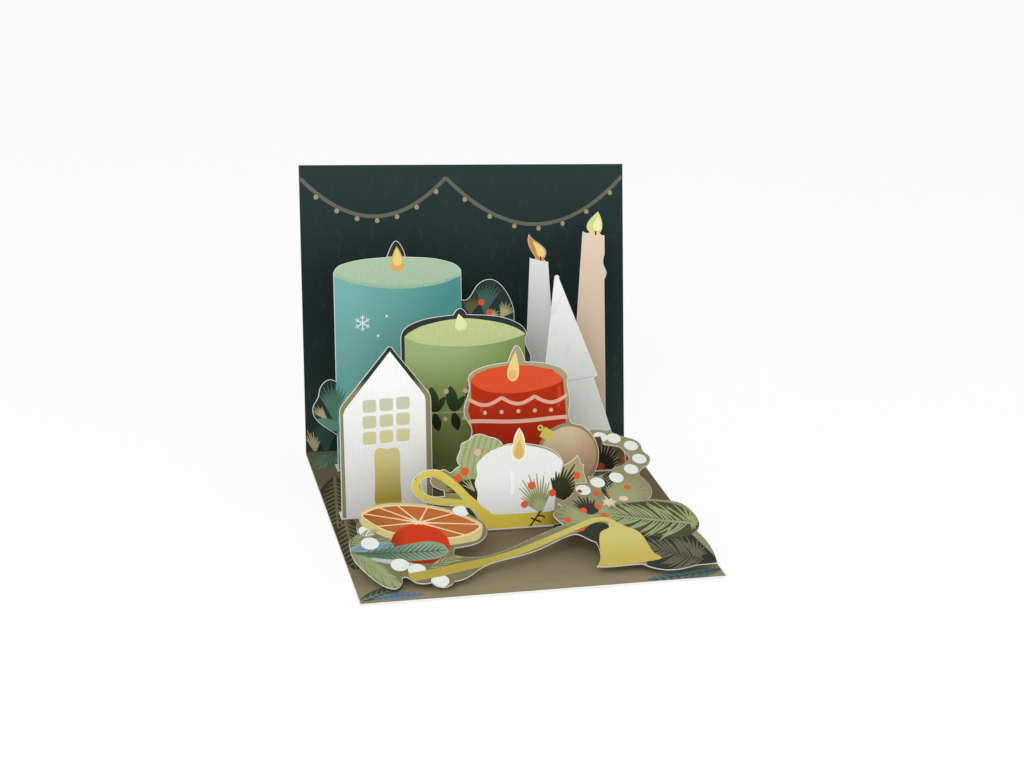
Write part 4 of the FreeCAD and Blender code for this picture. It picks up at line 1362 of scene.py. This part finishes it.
    def pine(self, made: Print) -> None:
        """Print both pine branches, the fans beside the garland, and two blossoms.

        Args:
            made: the sheet's print so far.
        """
        made.lay(low_ink("pine shade", "#33362e"),
                 np.array([(38.6, 21.0), (44.0, 19.5), (52.0, 18.5), (59.6, 18.0), (65.4, 5.0),
                           (66.0, -2.0), (38.0, -2.0)]),
                 smooth([(12.0, 19.0), (20.0, 24.4), (23.3, 26.4), (26.6, 27.0), (29.0, 25.6), (29.0, 21.0),
                         (22.0, 14.0)]))
        made.lay(low_ink("shade needles", "#65624f"),
                 *needles((60.5, 5.0), (42.5, 12.5), 34, 11.0, 0.85, 50.0, 60),
                 *fan((57.5, 6.8), (20.0, 105.0), (5.0, 9.0, 11.0), 8, 0.8))
        made.lay(low_ink("pine ground", "#4c4e35"),
                 smooth([(29.0, 30.0), (34.0, 35.0), (44.0, 36.0), (52.0, 35.6), (59.0, 33.0), (63.6, 27.0),
                         (63.4, 21.6), (58.0, 17.6),
                                                            (50.0, 17.2), (43.0, 19.4), (36.0, 23.4),
                                                                    (31.0, 26.4)]))
        made.lay(self.pale, *needles((62.0, 23.6), (29.5, 30.8), 48, 12.5, 0.8, 44.0, 61, 0.3),
                 *fan((61.0, 24.4), (112.0, -95.0), (10.0, 8.0, 4.5, 3.2, 3.0, 4.6), 12, 0.9),
                 stem((62.0, 23.6), (29.5, 30.8), 1.0, 0.3))
        made.lay(self.dark, *fan((24.0, 31.0), (26.0, 130.0), (5.0, 8.0, 10.5, 9.0), 12, 1.0),
                 *needles((33.0, 38.0), (36.6, 51.5), 16, 5.0, 1.0, 40.0, 62))
        made.lay(self.pale, *fan((34.6, 37.2), (-4.0, 100.0), (12.0, 15.5, 17.0, 14.0, 9.0, 6.5), 24, 0.75),
                 *fan((26.0, 29.0), (142.0, 190.0), (14.0, 15.0, 14.0), 11, 0.8),
                 *fan((27.6, 31.5), (40.0, 80.0), (8.0, 6.0), 5, 0.5))
        made.lay(low_ink("blossom", "#ddc7a3"), ellipse((32.9, 36.9), (2.0, 1.5)),
                 ellipse((39.0, 38.2), (1.8, 1.3)), *fan((32.9, 36.9), (0.0, 360.0), (3.0, 3.0), 8, 0.8))
        made.lay(low_ink("small star", "#b3935a"),
                 *fan((35.6, 40.0), (30.0, 150.0), (2.4, 3.0, 2.4), 5, 0.8))


@dataclass
class PlainPaper:
    """Cover, struts, legs and the bare edges and backs of the layers."""

    cover: Paper = Paper("cover", "#ecebe5", "#dfdcd4")
    card: Paper = Paper("layer card", "#e4e5df", "#d8d8d1")
    strut: Paper = Paper("strut", "#eeece5", "#dfdbd1")

    def dress(self) -> None:
        """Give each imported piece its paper."""
        for name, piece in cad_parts.items():
            if name == "lining_card":
                continue
            kind = self.strut if name.endswith(("strut", "leg")) else self.card
            kind = self.cover if name == "cover_card" else kind
            piece.material_slots[0].material = kind.material()
            LOG.info("%s: %s paper", name, kind.name)


@dataclass
class Studio:
    """Pale floor, soft light, white surroundings and the camera."""

    floor_size: float = 6.0
    azimuth: float = -17.93
    elevation: float = 24.37
    roll: float = 5.09
    distance: float = 0.6184
    target: tuple[float, float, float] = (0.0, -0.00345, 0.05085)
    focal_pixels: float = 1701.2
    offset_pixels: tuple[float, float] = (7.5, 11.5)
    picture_width: float = 1024.0
    world_strength: float = 0.56
    floor_drop: float = 0.0002
    floor_glow: float = 0.86
    lamps: tuple = (("key", (-0.55, -0.75, 0.95), 0.9, 8.1), ("fill", (0.75, -0.55, 0.6), 1.0, 2.9))

    def build(self) -> None:
        """Set floor, world, lamps and camera."""
        bpy.context.scene.view_settings.view_transform = "Standard"
        self.floor()
        self.world()
        for name, place, size, power in self.lamps:
            self.lamp(name, place, size, power)
        self.camera()

    def floor(self) -> None:
        """Lay a flat pale floor under the card, whitened where the camera sees it."""
        half = self.floor_size / 2
        mesh = bpy.data.meshes.new("floor")
        corners = np.array([(-half, -half), (half, -half), (half, half), (-half, half)])
        mesh.from_pydata(np.column_stack([corners, np.full(4, -self.floor_drop)]), [], [(0, 1, 2, 3)])
        piece = bpy.data.objects.new("floor", mesh)
        bpy.context.scene.collection.objects.link(piece)
        shader = Shader("pale floor")
        tone = shader.noise(3.0, 2.0)
        colour = shader.blend(tone * 0.2, (0.93, 0.93, 0.93, 1.0), (0.9, 0.9, 0.9, 1.0))
        shader.finish(colour, 0.9, tone, 0.01)
        seen = shader.node("ShaderNodeLightPath")
        share = Term(shader, seen.outputs["Is Camera Ray"]) + Term(shader, seen.outputs["Is Glossy Ray"])
        share = (share + Term(shader, seen.outputs["Is Transmission Ray"])).limited() * self.floor_glow
        glow = shader.node("ShaderNodeEmission", {}, {"Color": WHITE, "Strength": 1.0})
        mixed = shader.node("ShaderNodeMixShader", {},
                            {0: share, 1: shader.surface.outputs[0], 2: glow.outputs[0]})
        shader.tree.links.new(mixed.outputs[0], shader.output.inputs["Surface"])
        mesh.materials.append(shader.material)

    def world(self) -> None:
        """Light evenly from all round, and show white to the camera."""
        world = bpy.data.worlds.new("studio")
        bpy.context.scene.world = world
        world.use_nodes = True
        graph = Graph(world.node_tree)
        path = graph.node("ShaderNodeLightPath")
        soft, white = (graph.node("ShaderNodeBackground", inputs={"Color": WHITE, "Strength": strength})
                       for strength in (self.world_strength, 1.0))
        rays = {0: path.outputs["Is Camera Ray"], 1: soft.outputs[0], 2: white.outputs[0]}
        mixed = graph.node("ShaderNodeMixShader", inputs=rays)
        graph.node("ShaderNodeOutputWorld", inputs={"Surface": mixed.outputs[0]})

    def lamp(self, name: str, place: tuple, size: float, power: float) -> None:
        """Hang a square soft lamp that looks at the card.

        Args:
            name: of the lamp.
            place: where it hangs, in metres.
            size: of its side, in metres.
            power: in watts.
        """
        light = bpy.data.lights.new(name, "AREA")
        light.size = size
        light.energy = power
        piece = bpy.data.objects.new(name, light)
        bpy.context.scene.collection.objects.link(piece)
        piece.location = place
        piece.rotation_euler = (Vector(self.target) - Vector(place)).to_track_quat("-Z", "Y").to_euler()

    def camera(self) -> None:
        """Stand the camera where the picture was taken from.

        Back, right and up are worked out from azimuth and elevation, and right and up are then
        turned by the roll.
        """
        azimuth, elevation, roll = (math.radians(v) for v in (self.azimuth, self.elevation, self.roll))
        back = Vector((math.sin(azimuth) * math.cos(elevation), -math.cos(azimuth) * math.cos(elevation),
                       math.sin(elevation)))
        right = Vector((math.cos(azimuth), math.sin(azimuth), 0.0))
        up = right.cross(-back)
        across = math.cos(roll) * right + math.sin(roll) * up
        upright = math.cos(roll) * up - math.sin(roll) * right
        data = bpy.data.cameras.new("camera")
        data.sensor_width = 36.0
        data.lens = self.focal_pixels * data.sensor_width / self.picture_width
        data.shift_x = -self.offset_pixels[0] / self.picture_width
        data.shift_y = self.offset_pixels[1] / self.picture_width
        data.clip_start = 0.01
        piece = bpy.data.objects.new("camera", data)
        bpy.context.scene.collection.objects.link(piece)
        turn = Matrix((across, upright, back)).transposed()
        piece.matrix_world = Matrix.Translation(Vector(self.target) + back * self.distance) @ turn.to_4x4()
        bpy.context.scene.camera = piece


def main() -> None:
    """Dress the card from the back to the front, and set the studio."""
    logging.basicConfig(level=logging.INFO, format="%(name)s %(message)s")
    PlainPaper().dress()
    for part in (Backdrop(), TealCandle(), Tapers(), Tree(), GreenCandle(), RedCandle(), House(),
                 HandledHolder(), FrontSpray()):
        part.dress()
    Studio().build()


if __name__ == "__main__":
    main()
